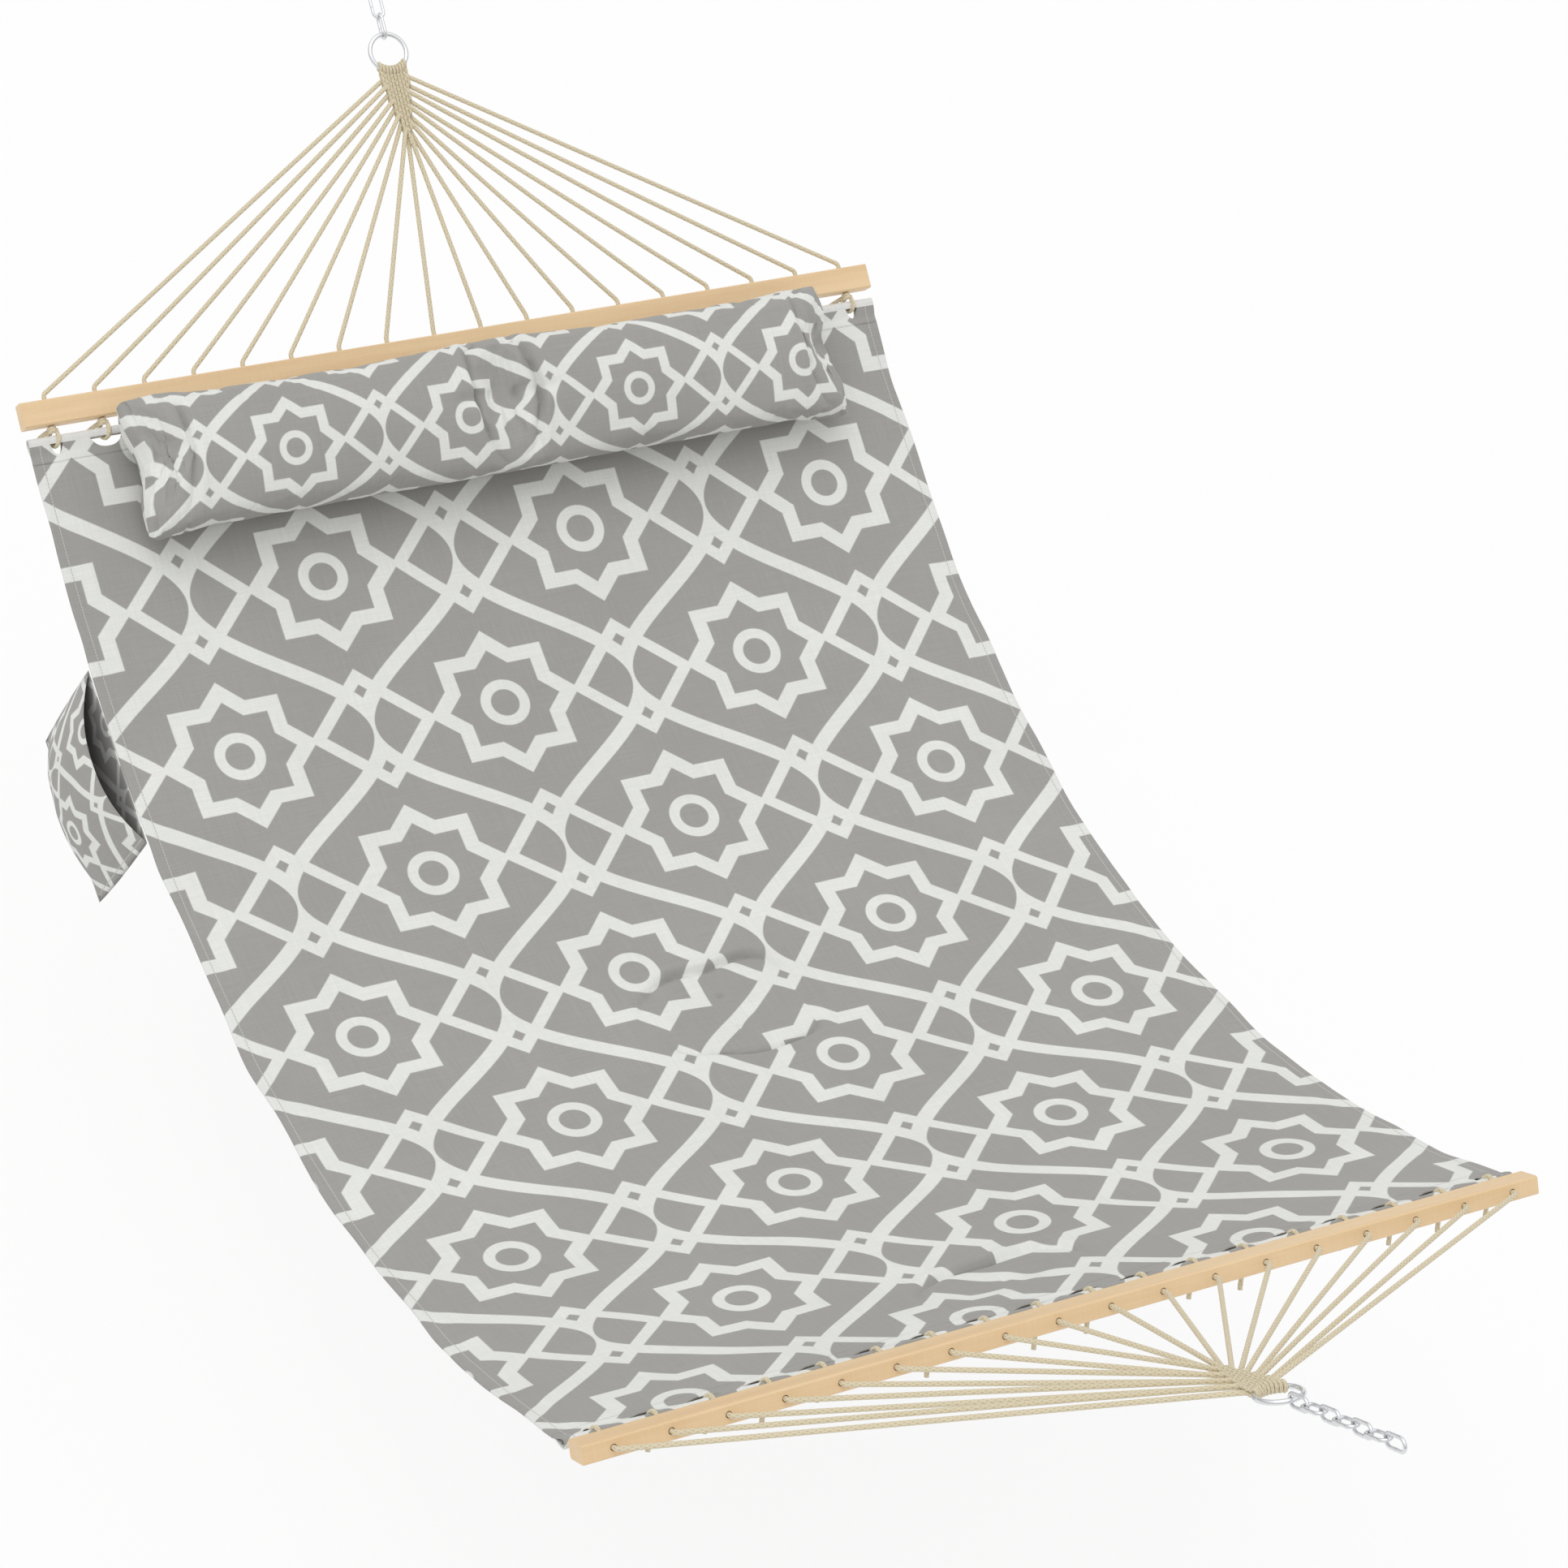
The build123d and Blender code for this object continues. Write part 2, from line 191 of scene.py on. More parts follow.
# Pillow: its section as (towards the foot, height), its flat-sewn ends, its tufts and its filling
PILLOW_OUTLINE = (
    (-0.084, 0.016), (-0.030, 0.001), (0.030, 0.001), (0.088, 0.016), (0.103, 0.050),
    (0.084, 0.090), (0.004, 0.118), (-0.082, 0.106), (-0.101, 0.062),
)
PILLOW_COLUMNS = 72
PILLOW_ROWS = 161
PILLOW_CROWDING = 0.25
PILLOW_FINER_ROWS = 4
PILLOW_FINER_COLUMNS = 3
PILLOW_END_REACH = 0.060
PILLOW_END_HEIGHT = 0.055
PILLOW_END_FLATNESS = 0.03
PILLOW_END_WIDER = 0.03
PILLOW_END_DRAWN = 0.013
PILLOW_DRAWN_REACH = 0.05
PILLOW_CORNER_ROUND = 0.07
TUFT_SPACING = 0.545
TUFT_SIZE = (0.048, 0.100)
TUFT_DEPTH = 0.012
TUFT_DEEPER = (1.1, 1.6, 1.0)
TUFT_PULL_SIZE = (0.030, 0.045)
TUFT_HELD = 0.93
SEAT_HELD = 0.006
END_HELD = 0.02
END_SMOOTH = 0.02
LOW_BACK_RISE = (0.075, 0.050)
LOW_BACK_OUT = (-0.055, -0.080)
LOW_BACK_SPARED = 0.7
FILLING_PRESSURE = 4.0
FILLING_STEPS = 20
FILLING_MOST = 0.010

# Pillow tapes: a tape's line as (out from the bed's end, height over the roll)
TAPE_HALF_WIDTH = 0.015
TAPE_THICKNESS = 0.0014
TAPE_HOLES_APART = 6
TAPE_GAP = 0.0003
TAPE_LINE = ((0.022, 0.0), (0.029, 0.0), (0.036, 0.0004), (0.040, 0.0022), (0.045, 0.005))

# Pocket: its front panel's bulge as (share of the depth, distance out), its creases and its flat length
POCKET_BULGE = ((0, 0.036), (0.2, 0.046), (0.42, 0.050), (0.65, 0.046), (0.85, 0.033), (1, 0.0))
POCKET_SQUARENESS = 2.2
POCKET_MOUTH_SAG = 0.012
POCKET_CREASE, POCKET_CREASE_SIZE = 0.0022, 0.035
POCKET_NARROWS = 0.05
POCKET_GAP = 0.0006

# Colours, linear
GREY = (0.358, 0.350, 0.330, 1)
WHITE = (0.80, 0.81, 0.775, 1)
BACKING = (0.56, 0.55, 0.52, 1)
BINDING = (0.78, 0.78, 0.76, 1)
# The pocket's inside: the reverse of the print, darkened as painted shade of the pouch's hollow, and its
# print darkened as painted shade too
LINING_PAINTED_SHADE = (0.24, 0.235, 0.225, 1)
LINING_PRINT_PAINTED_SHADE = (0.46, 0.46, 0.44, 1)
ROPE = (0.755, 0.665, 0.475, 1)
# Painted shade in the braid's valleys between strands
ROPE_VALLEY_PAINTED_SHADE = (0.61, 0.53, 0.36, 1)
WOOD_LIGHT = (0.83, 0.62, 0.375, 1)
WOOD_DARK = (0.75, 0.52, 0.285, 1)
STEEL = (0.76, 0.77, 0.79, 1)
SEWING = (0.55, 0.55, 0.53, 1)

ENDS = ("head", "foot")


def middle_of(node):
    """The middle of a solid's box."""
    low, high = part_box(node)
    return (low + high) / 2


HEAD_BAR = middle_of("head_spreader_bar")
FOOT_BAR = middle_of("foot_spreader_bar")
MIDDLE_X = (HEAD_BAR.x + FOOT_BAR.x) / 2
HALF_SPACING = (FOOT_BAR.x - HEAD_BAR.x) / 2
HEAD_RING = middle_of("head_ring")
RING_CENTRE = hypot(HEAD_RING.x, HEAD_RING.z)
BAR_CENTRE = hypot(HEAD_BAR.x, HEAD_BAR.z)
BAR_OUTER_FACE = BAR_CENTRE - BAR_WIDTH / 2
BAR_INNER_FACE = BAR_CENTRE + BAR_WIDTH / 2
CATENARY = HALF_SPACING / asinh(tan(END_SLOPE))
HALF_ARC = CATENARY * tan(END_SLOPE)
HEM_EDGE = HALF_ARC - BAR_WIDTH / 2 - HEM_FROM_BAR
BED_END = HEM_EDGE - SLEEVE_LENGTH
HOLES = [(HOLE_COUNT / 2 - 0.5 - row) * HOLE_PITCH for row in range(HOLE_COUNT)]


def at_end(end, along, across, above=0.0):
    """A point of an end: along its hanging line from the hook, across, and above the fan's plane."""
    x = along * cos(END_SLOPE) + above * sin(END_SLOPE)
    z = above * cos(END_SLOPE) - along * sin(END_SLOPE)
    return Vector((x if end == "head" else 2 * MIDDLE_X - x, across, z))


def in_end(point):
    """Where a point near the head end lies: along the hanging line, and above the fan's plane."""
    along = point.x * cos(END_SLOPE) - point.z * sin(END_SLOPE)
    above = point.x * sin(END_SLOPE) + point.z * cos(END_SLOPE)
    return along, above


def on_bed(along, across, above):
    """Points over the bed's mid surface: arc length towards the foot, across, and height."""
    along, across, above = np.broadcast_arrays(along, across, above)
    x = CATENARY * np.arcsinh(along / CATENARY)
    slope = np.arctan(np.sinh(x / CATENARY))
    z = HEAD_BAR.z + CATENARY * (np.cosh(x / CATENARY) - cosh(asinh(tan(END_SLOPE))))
    return np.stack([MIDDLE_X + x - above * np.sin(slope), across, z + above * np.cos(slope)], -1)


def along_bed(along, sign=1):
    """The bed's direction at a place along it, towards the foot, or towards the head with sign -1."""
    step = on_bed(along + sign * 0.001, 0.0, 0.0) - on_bed(along, 0.0, 0.0)
    return step / np.linalg.norm(step)


def smooth_step(low, high, value):
    """0 below low, 1 above high, smooth between."""
    share = np.clip((value - low) / (high - low), 0, 1)
    return share * share * (3 - 2 * share)


def soft_noise(a, b, size, seed):
    """Smooth random waves of about a given size, from -1 to 1, the same on every run."""
    lattice = np.random.default_rng(seed).uniform(-1, 1, (64, 64))
    a, b = np.broadcast_arrays(np.asarray(a) / size + 200, np.asarray(b) / size + 200)
    row, column = np.floor(a).astype(int), np.floor(b).astype(int)
    down, right = smooth_step(0, 1, a - row), smooth_step(0, 1, b - column)
    value = 0.0
    for r, weight in ((0, 1 - down), (1, down)):
        for c, share in ((0, 1 - right), (1, right)):
            value = value + lattice[(row + r) % 64, (column + c) % 64] * weight * share
    return value


# Node trees as arithmetic


class Field:
    """A value in a material's node tree that takes plain arithmetic."""

    def __init__(self, tree, socket):
        self.tree = tree
        self.socket = socket

    def math(self, operation, *others):
        node = self.tree.nodes.new("ShaderNodeMath")
        node.operation = operation
        for index, value in enumerate((self, *others)):
            if isinstance(value, Field):
                self.tree.links.new(value.socket, node.inputs[index])
            else:
                node.inputs[index].default_value = value
        return Field(self.tree, node.outputs[0])

    def __add__(self, other):
        return self.math("ADD", other)

    def __sub__(self, other):
        return self.math("SUBTRACT", other)

    def __mul__(self, other):
        return self.math("MULTIPLY", other)

    def __neg__(self):
        return self.math("MULTIPLY", -1.0)

    def abs(self):
        return self.math("ABSOLUTE")

    def length(self, other):
        return (self * self + other * other).math("SQRT")

    def step(self, low, high):
        """A smooth step from 0 at low to 1 at high."""
        node = self.tree.nodes.new("ShaderNodeMapRange")
        node.interpolation_type = "SMOOTHSTEP"
        node.inputs["From Min"].default_value = low
        node.inputs["From Max"].default_value = high
        self.tree.links.new(self.socket, node.inputs["Value"])
        return Field(self.tree, node.outputs[0])

    def blend(self, first, second):
        """One colour where this is 0 and another where it is 1."""
        node = self.tree.nodes.new("ShaderNodeMix")
        node.data_type = "RGBA"
        self.tree.links.new(self.socket, node.inputs["Factor"])
        for socket, value in ((node.inputs[6], first), (node.inputs[7], second)):
            if isinstance(value, Field):
                self.tree.links.new(value.socket, socket)
            else:
                socket.default_value = value
        return Field(self.tree, node.outputs[2])

    def times(self, other):
        """This colour multiplied by another."""
        node = self.tree.nodes.new("ShaderNodeMix")
        node.data_type = "RGBA"
        node.blend_type = "MULTIPLY"
        node.inputs["Factor"].default_value = 1.0
        self.tree.links.new(self.socket, node.inputs[6])
        self.tree.links.new(other.socket, node.inputs[7])
        return Field(self.tree, node.outputs[2])


class Paint:
    """A material with its shader, and the coordinates and noises that feed it."""

    def __init__(self, name, roughness=0.8, **constants):
        self.material = bpy.data.materials.new(name)
        self.material.use_nodes = True
        self.tree = self.material.node_tree
        self.shader = self.tree.nodes["Principled BSDF"]
        self.shader.inputs["Roughness"].default_value = roughness
        for socket, value in constants.items():
            self.shader.inputs[socket.replace("_", " ")].default_value = value

    def split(self, socket):
        node = self.tree.nodes.new("ShaderNodeSeparateXYZ")
        self.tree.links.new(socket, node.inputs[0])
        return [Field(self.tree, output) for output in node.outputs]

    def uv(self):
        """The cloth's or cord's own two coordinates."""
        node = self.tree.nodes.new("ShaderNodeUVMap")
        return self.split(node.outputs[0])[:2]

    def place(self):
        """The part's own three coordinates."""
        node = self.tree.nodes.new("ShaderNodeTexCoord")
        return self.split(node.outputs["Object"])

    def noise(self, coordinates, scales, detail=3.0):
        """A noise from 0 to 1, with its own scale along each coordinate."""
        combine = self.tree.nodes.new("ShaderNodeCombineXYZ")
        for index, (field, scale) in enumerate(zip(coordinates, scales)):
            self.tree.links.new((field * scale).socket, combine.inputs[index])
        node = self.tree.nodes.new("ShaderNodeTexNoise")
        node.inputs["Scale"].default_value = 1.0
        node.inputs["Detail"].default_value = detail
        self.tree.links.new(combine.outputs[0], node.inputs["Vector"])
        return Field(self.tree, node.outputs["Fac"])

    def set(self, socket, field):
        self.tree.links.new(field.socket, self.shader.inputs[socket])

    def bump(self, height, distance, strength):
        node = self.tree.nodes.new("ShaderNodeBump")
        node.inputs["Strength"].default_value = strength
        node.inputs["Distance"].default_value = distance
        self.tree.links.new(height.socket, node.inputs["Height"])
        self.tree.links.new(node.outputs[0], self.shader.inputs["Normal"])


def trellis(u, v, scale):
    """The print's white share: an ogee trellis with stars in its eyes and diamonds where it meets."""
    width, height = 0.42 * scale, 0.50 * scale
    swing, band = 0.27 * width, 0.0115 * scale
    star, ring, diamond = 0.074 * scale, 0.030 * scale, 0.062 * scale
    eye_band, diamond_band = 0.7 * band, 0.8 * band
    crisp = 0.0012
    diagonal = 0.5 ** 0.5
    turn = v * (2 * pi / height)
    folded = (u - width / 4).math("PINGPONG", width / 2)
    slant = turn.math("SINE") * (2 * pi * swing / height)
    steep = (slant * slant + 1.0).math("SQRT")
    off = (folded - width / 4 + turn.math("COSINE") * swing).abs().math("DIVIDE", steep)
    white = off.step(band + crisp, band - crisp)
    along = v.math("PINGPONG", height / 2)
    for x, y in ((folded, -along + height / 2), (-folded + width / 2, along)):
        tilted = (x + y) * diagonal
        outline = (x.math("MAXIMUM", y).math("MINIMUM", tilted) - star).abs()
        white = white.math("MAXIMUM", outline.step(band + crisp, band - crisp))
        eye = (x.length(y) - ring).abs()
        white = white.math("MAXIMUM", eye.step(eye_band + crisp, eye_band - crisp))
    for x, y in ((folded, along), (-folded + width / 2, -along + height / 2)):
        edge = ((x + y) * diagonal - diamond).abs()
        white = white.math("MAXIMUM", edge.step(diamond_band + crisp, diamond_band - crisp))
    return white


def cloth(name, scale=None, plain=GREY, stitches=(), printed=WHITE):
    """Woven canvas, plain or with the trellis print, with slubs, a fine weave and lines of stitches.

    Each line of stitches is a coordinate's index and its distance from the middle. The first two
    noises are threads of uneven thickness either way, and the third is broad and cloudy."""
    paint = Paint(name, roughness=0.86, Sheen_Weight=0.12, Sheen_Roughness=0.5)
    u, v = paint.uv()
    slub = paint.noise((u, v), (14.0, 420.0)) + paint.noise((u, v), (420.0, 14.0))
    cloud = paint.noise((u, v), (5.0, 5.0), detail=2.0)
    print_share = trellis(u, v, scale) if scale else cloud * 0.0
    colour = print_share.blend(plain, printed)
    shade = (slub * 0.10 + cloud * 0.08 - 0.14).step(-0.05, 0.06)
    tint = shade.blend((0.93, 0.93, 0.93, 1), (1.05, 1.05, 1.05, 1))
    colour = colour.times(tint)
    thread = 2 * pi / WEAVE_PITCH
    height = (u * thread).math("SINE") * (v * thread).math("SINE") * 0.5 + slub
    for axis, place in stitches:
        line, run = (u, v) if axis == 0 else (v, u)
        off = (line.abs() - place).abs()
        dash = (run * (2 * pi / STITCH)).math("SINE").step(-0.75, -0.45)
        sewn = off.step(THREAD + THREAD_BLUR, THREAD) * dash
        colour = sewn.blend(colour, SEWING)
        height = height - off.step(5 * THREAD, THREAD) * 1.5 + sewn * 2.0
    paint.set("Base Color", colour)
    paint.bump(height, distance=0.00025, strength=0.6)
    return paint.material


def rope():
    """Braided cord: two sets of strands that cross round it, with painted shade in the valleys between
    them.
    """
    paint = Paint("braided_cord", roughness=0.82, Sheen_Weight=0.15)
    u, v = paint.uv()
    climb = v * (2 * pi / BRAID_PITCH)
    around = u * (2 * pi * BRAID_STRANDS)
    strands = (around + climb).math("SINE").math("MAXIMUM", (around - climb).math("SINE"))
    fibre = paint.noise((u, v), (40.0, 900.0))
    cloud = paint.noise((u, v), (2.0, 9.0), detail=1.0)
    # Colour mask: painted shade in the valleys between strands, with random tone from the fibre and
    # cloud noises
    height = (strands * 0.5 + fibre * 0.35 + cloud * 0.25).step(-0.25, 0.75)
    paint.set("Base Color", height.blend(ROPE_VALLEY_PAINTED_SHADE, ROPE))
    paint.bump(strands + fibre * 0.5, distance=0.0005, strength=0.8)
    return paint.material


def wood(name, darker=1.0):
    """Pale hardwood with fine grain along Y and a thin satin finish."""
    paint = Paint(name, roughness=0.45, Coat_Weight=0.15, Coat_Roughness=0.35)
    x, y, z = paint.place()
    figure = paint.noise((x, y, z), (46.0, 2.2, 46.0), detail=4.0)
    pores = paint.noise((x, y, z), (900.0, 16.0, 900.0), detail=2.0)
    fleck = paint.noise((x, y, z), (24.0, 380.0, 24.0), detail=2.0)
    grain = (figure * 0.8 + pores * 0.35 + fleck * 0.22).step(0.40, 0.98)
    light = tuple(value * darker for value in WOOD_LIGHT[:3]) + (1,)
    dark = tuple(value * darker for value in WOOD_DARK[:3]) + (1,)
    paint.set("Base Color", grain.blend(light, dark))
    paint.set("Roughness", pores * 0.25 + 0.36)
    paint.bump(pores + figure, distance=0.0002, strength=0.35)
    return paint.material


def steel():
    """Bright zinc-plated wire."""
    paint = Paint("zinc_plate", roughness=0.24, Metallic=1.0)
    paint.shader.inputs["Base Color"].default_value = STEEL
    x, y, z = paint.place()
    scuff = paint.noise((x, y, z), (240.0, 240.0, 240.0), detail=4.0)
    paint.set("Roughness", scuff * 0.22 + 0.14)
    paint.bump(scuff, distance=0.00008, strength=0.4)
    return paint.material


BED_STITCHES = ((0, BED_HALF_WIDTH - BED_STITCH_INSET),)
POCKET_STITCHES = (
    (0, POCKET_LENGTH / 2 - POCKET_STITCH_INSET),
    (1, POCKET_DEPTH - POCKET_STITCH_INSET),
)
BED_CLOTH = cloth("printed_bed_cloth", 1.0, stitches=BED_STITCHES)
PILLOW_CLOTH = cloth("printed_pillow_cloth", PILLOW_PRINT)
POCKET_CLOTH = cloth("printed_pocket_cloth", POCKET_PRINT, stitches=POCKET_STITCHES)
BACK_CLOTH = cloth("plain_backing_cloth", None, BACKING, BED_STITCHES)
BINDING_CLOTH = cloth("hem_binding_cloth", None, BINDING)
# The pocket's inner face: the reverse of the print in painted shade
LINING_CLOTH_PAINTED_SHADE = cloth("pocket_reverse_cloth_painted_shade", POCKET_PRINT, LINING_PAINTED_SHADE, printed=LINING_PRINT_PAINTED_SHADE)
ROPE_PAINT = rope()
BAR_WOOD = wood("bar_hardwood")
DOWEL_WOOD = wood("dowel_hardwood", 0.9)
STEEL_PAINT = steel()


# Meshes made of grids


class Form:
    """A mesh in the making: grids of points with the cloth's or cord's own coordinates."""

    def __init__(self):
        self.points = []
        self.faces = []
        self.uvs = []
        self.kinds = []

    def face(self, corners, uvs, kind):
        self.faces.append(corners)
        self.uvs.extend(uvs)
        self.kinds.append(kind)

    def grid(self, points, uv, wrap_rows=False, wrap_columns=False, kind=0):
        """Adds a grid of points. uv has one more row or column where the grid wraps round."""
        points = np.asarray(points, float)
        rows, columns = points.shape[:2]
        first = len(self.points)
        self.points.extend(points.reshape(-1, 3).tolist())
        uv = np.asarray(uv, float).tolist()
        for row in range(rows if wrap_rows else rows - 1):
            for column in range(columns if wrap_columns else columns - 1):
                around = ((row, column), (row, column + 1), (row + 1, column + 1), (row + 1, column))
                corners = [first + (r % rows) * columns + c % columns for r, c in around]
                self.face(corners, [uv[r][c] for r, c in around], kind)
        return first

    def cap(self, ring):
        """Closes a ring of points that are in the mesh already."""
        self.face(list(ring), [(0.0, 0.0)] * len(ring), 0)

    def slab(self, top, under, uv, under_kind=0):
        """Adds an upper and a lower grid, and the walls between their edges."""
        self.grid(top, uv)
        self.grid(under[:, ::-1], uv[:, ::-1], kind=under_kind)
        for row in (0, -1):
            self.grid([top[row], under[row]], [uv[row], uv[row]], kind=under_kind)
        for column in (0, -1):
            self.grid([top[:, column], under[:, column]], [uv[:, column], uv[:, column]])

    def tube(self, line, radius, sides=CORD_SIDES, closed=False):
        """A round wire or cord along a line: u goes round it, and v along it in metres."""
        line = np.asarray(line, float)
        count = len(line)
        if closed:
            tangents = np.roll(line, -1, 0) - np.roll(line, 1, 0)
        else:
            tangents = np.gradient(line, axis=0)
        tangents /= np.linalg.norm(tangents, axis=1)[:, None]
        side = np.cross(tangents[0], np.eye(3)[np.argmin(np.abs(tangents[0]))])
        turns = np.linspace(0, 2 * pi, sides, endpoint=False)
        rings = []
        for tangent, point, size in zip(tangents, line, np.broadcast_to(radius, count)):
            side = side - tangent * (side @ tangent)
            side /= np.linalg.norm(side)
            up = np.cross(tangent, side)
            rings.append(point + size * (np.outer(np.cos(turns), side) + np.outer(np.sin(turns), up)))
        steps = np.linalg.norm(np.diff(np.vstack([line, line[:1]]), axis=0), axis=1)
        lengths = np.concatenate([[0], np.cumsum(steps)])[: count + closed]
        uv = np.stack(np.meshgrid(np.linspace(0, 1, sides + 1), lengths), -1)
        first = self.grid(rings, uv, wrap_rows=closed, wrap_columns=True)
        if not closed:
            self.cap(range(first + sides - 1, first - 1, -1))
            last = first + (count - 1) * sides
            self.cap(range(last, last + sides))

    def shape(self, name, materials=(), weld=0.0):
        """The mesh as an object in the scene."""
        mesh = bpy.data.meshes.new(name)
        mesh.from_pydata(self.points, [], self.faces)
        mesh.uv_layers.new(name="UVMap").data.foreach_set("uv", np.ravel(self.uvs))
        mesh.polygons.foreach_set("material_index", self.kinds)
        for material in materials:
            mesh.materials.append(material)
        work = bmesh.new()
        work.from_mesh(mesh)
        if weld:
            bmesh.ops.remove_doubles(work, verts=work.verts, dist=weld)
        bmesh.ops.recalc_face_normals(work, faces=work.faces)
        work.to_mesh(mesh)
        work.free()
        mesh.shade_smooth()
        obj = bpy.data.objects.new(name, mesh)
        bpy.context.scene.collection.objects.link(obj)
        return obj

    def piece(self, name, materials, body, slot, nodes, weld=0.0):
        """The mesh as a piece that rides on a body and stands for some solids."""
        obj = self.shape(name, materials, weld)
        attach(obj, body)
        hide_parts(*nodes)
        return obj


# Cords


def spline_points(route):
    """Points along the smooth line that a route's points control."""
    curve = bpy.data.curves.new("route", "CURVE")
    curve.dimensions = "3D"
    curve.resolution_u = 10
    spline = curve.splines.new("NURBS")
    spline.points.add(len(route) - 1)
    for control, place in zip(spline.points, route):
        control.co = (*place, 1.0)
    spline.use_endpoint_u = True
    spline.order_u = 3
    holder = bpy.data.objects.new("route", curve)
    mesh = bpy.data.meshes.new_from_object(holder)
    points = [tuple(vertex.co) for vertex in mesh.vertices]
    bpy.data.objects.remove(holder)
    bpy.data.meshes.remove(mesh)
    bpy.data.curves.remove(curve)
    return points


def clew_leaving_point(row):
    """Where a cord leaves the wedge's side: along the hanging line, and aside."""
    share = (row + 0.5) / CLEW_STRANDS
    half_width = RING_RADIUS * sin(CLEW_STRANDS // 2 * CLEW_LOOP_STEP) - CLEW_CORD_TUCK
    return RING_CENTRE + RING_RADIUS + RING_WIRE / 2 + CLEW_LAST_CORD * share, half_width * (1 - share)


def fan_leg(end, row, side):
    """One taut leg from a face of the wedge through its hole in the bar."""
    along, aside = clew_leaving_point(row)
    hole = HOLES[row]
    start = Vector((along, aside, side * CLEW_LAYER * (-1) ** row))
    corner = Vector((BAR_OUTER_FACE - CORD_STUB, hole, 0))
    straight = (corner - start).normalized()
    route = [
        start,
        start + 6 * CORD_DIAMETER * straight,
        corner - CORD_STUB * straight,
        corner,
        Vector((BAR_OUTER_FACE, hole, 0)),
        Vector((BAR_INNER_FACE + CORD_DIAMETER, hole, 0)),
    ]
    line = spline_points([at_end(end, x, side * y, z) for x, y, z in route])
    form = Form()
    form.tube(line, CORD_DIAMETER / 2)
    name = f"{end}_cord_{row + 1}_{'left' if side > 0 else 'right'}"
    leg = form.piece(name, [ROPE_PAINT], "hammock", "cord", [f"{end}_cord_{row + 1}"])


def hitch_lines(tail_length):
    """A knot, its loop round the hem's roll, the cord in it and its tail, as (along, across, above)."""
    knot_start = BAR_INNER_FACE + HITCH_RADIUS
    turns = np.linspace(0, KNOT_TURNS * 2 * pi, 40)
    swell = KNOT_RADIUS * (0.80 + 0.20 * np.sin(np.linspace(0, pi, 40)))
    along = knot_start + np.linspace(0, KNOT_LENGTH, 40)
    knot = np.stack([along, swell * np.cos(turns), swell * np.sin(turns)], -1)
    roll = Vector(in_end(middle_of("head_dowel")))
    radius = SLEEVE_RADIUS + HITCH_RADIUS - LOOP_SUNK
    angles, ends = [], []
    for side in (1, -1):
        leaves = Vector((knot_start + KNOT_LENGTH / 2, side * KNOT_RADIUS / 2))
        away = leaves - roll
        angles.append(atan2(away.y, away.x) % (2 * pi) - side * acos(radius / away.length))
        ends.append(leaves)
    sweep = np.linspace(angles[0], angles[1] - 2 * pi, 22)
    round_roll = [roll + Vector((cos(angle), sin(angle))) * radius for angle in sweep]
    bends = [ends[0], *round_roll, ends[1]]
    lean = LOOP_LEAN * np.cos(np.linspace(0, pi, len(bends)))
    loop = [(point.x, aside, point.y) for point, aside in zip(bends, lean)]
    collar = [(BAR_INNER_FACE - COLLAR_TUCK, 0, 0), (knot_start + KNOT_LENGTH, 0, 0)]
    share = np.linspace(0, 1, 8)
    inward = knot_start + KNOT_LENGTH / 2 + TAIL_INWARD * share
    tail = np.stack([inward, -TAIL_ASIDE * np.sqrt(share), -TAIL_START - tail_length * share], -1)
    return knot, loop, collar, tail


def hitches(end):
    """The knots under a bar, with their tails and the loops that they hold round the hem's roll."""
    form = Form()
    chance = np.random.default_rng(13)
    for hole in HOLES:
        for line in hitch_lines(chance.uniform(*KNOT_TAILS)):
            form.tube([at_end(end, x, hole + y, z) for x, y, z in line], HITCH_RADIUS, 8)
    nodes = [f"{end}_cord_{row + 1}" for row in range(HOLE_COUNT // 2)]
    form.piece(f"{end}_hitches", [ROPE_PAINT], "hammock", "cord", nodes)


def clew(end):
    """The woven wedge: strands hung over the ring in two layers, with cross strands through each."""
    form = Form()
    middle = CLEW_STRANDS // 2
    over_ring = RING_WIRE / 2 + WARP_RADIUS
    edge = RING_CENTRE + RING_RADIUS + RING_WIRE / 2

    def weave(along, column):
        return WEAVE_LIFT * cos(pi * (along - edge) / WEFT_PITCH + pi * column)

    for column in range(-middle, middle + 1):
        turn = column * CLEW_LOOP_STEP
        aside = RING_RADIUS * sin(turn)
        seat = RING_CENTRE + RING_RADIUS * cos(turn)
        end_along = edge + CLEW_LENGTH * (1 - abs(column) / (middle + 1))
        run = np.arange(end_along, seat + over_ring, -WEFT_PITCH / 6)
        upper = [(x, aside, WARP_LAYER + weave(x, column)) for x in run]
        lower = [(x, aside, -WARP_LAYER - weave(x, column)) for x in run[::-1]]
        bend = np.linspace(*WARP_TURN, 14)
        loop = [(seat + over_ring * cos(a), aside, over_ring * sin(a)) for a in bend]
        line = [at_end(end, *point) for point in (*upper, *loop, *lower)]
        form.tube(line, WARP_RADIUS, 8)
    rows = int(CLEW_LENGTH / WEFT_PITCH)
    for row in range(1, rows):
        along = edge + row * WEFT_PITCH
        half = RING_RADIUS * sin(middle * CLEW_LOOP_STEP) * (1 - row / rows) + WARP_RADIUS
        across = np.linspace(-half, half, 8 + 4 * int(half / WEFT_STEP))
        for face in (1, -1):
            columns = np.arcsin(np.clip(across / RING_RADIUS, -1, 1)) / CLEW_LOOP_STEP
            lifts = WARP_LAYER - WEAVE_LIFT * np.cos(pi * row + pi * columns)
            lifts = np.where(np.abs(across) > half - WEFT_TUCK, WEFT_TUCK_LAYER, lifts)
            line = [at_end(end, along, y, face * lift) for y, lift in zip(across, lifts)]
            form.tube(line, WEFT_RADIUS, 6)
    form.piece(f"{end}_woven_clew", [ROPE_PAINT], "hammock", "cord", [f"{end}_clew"])


# Steel


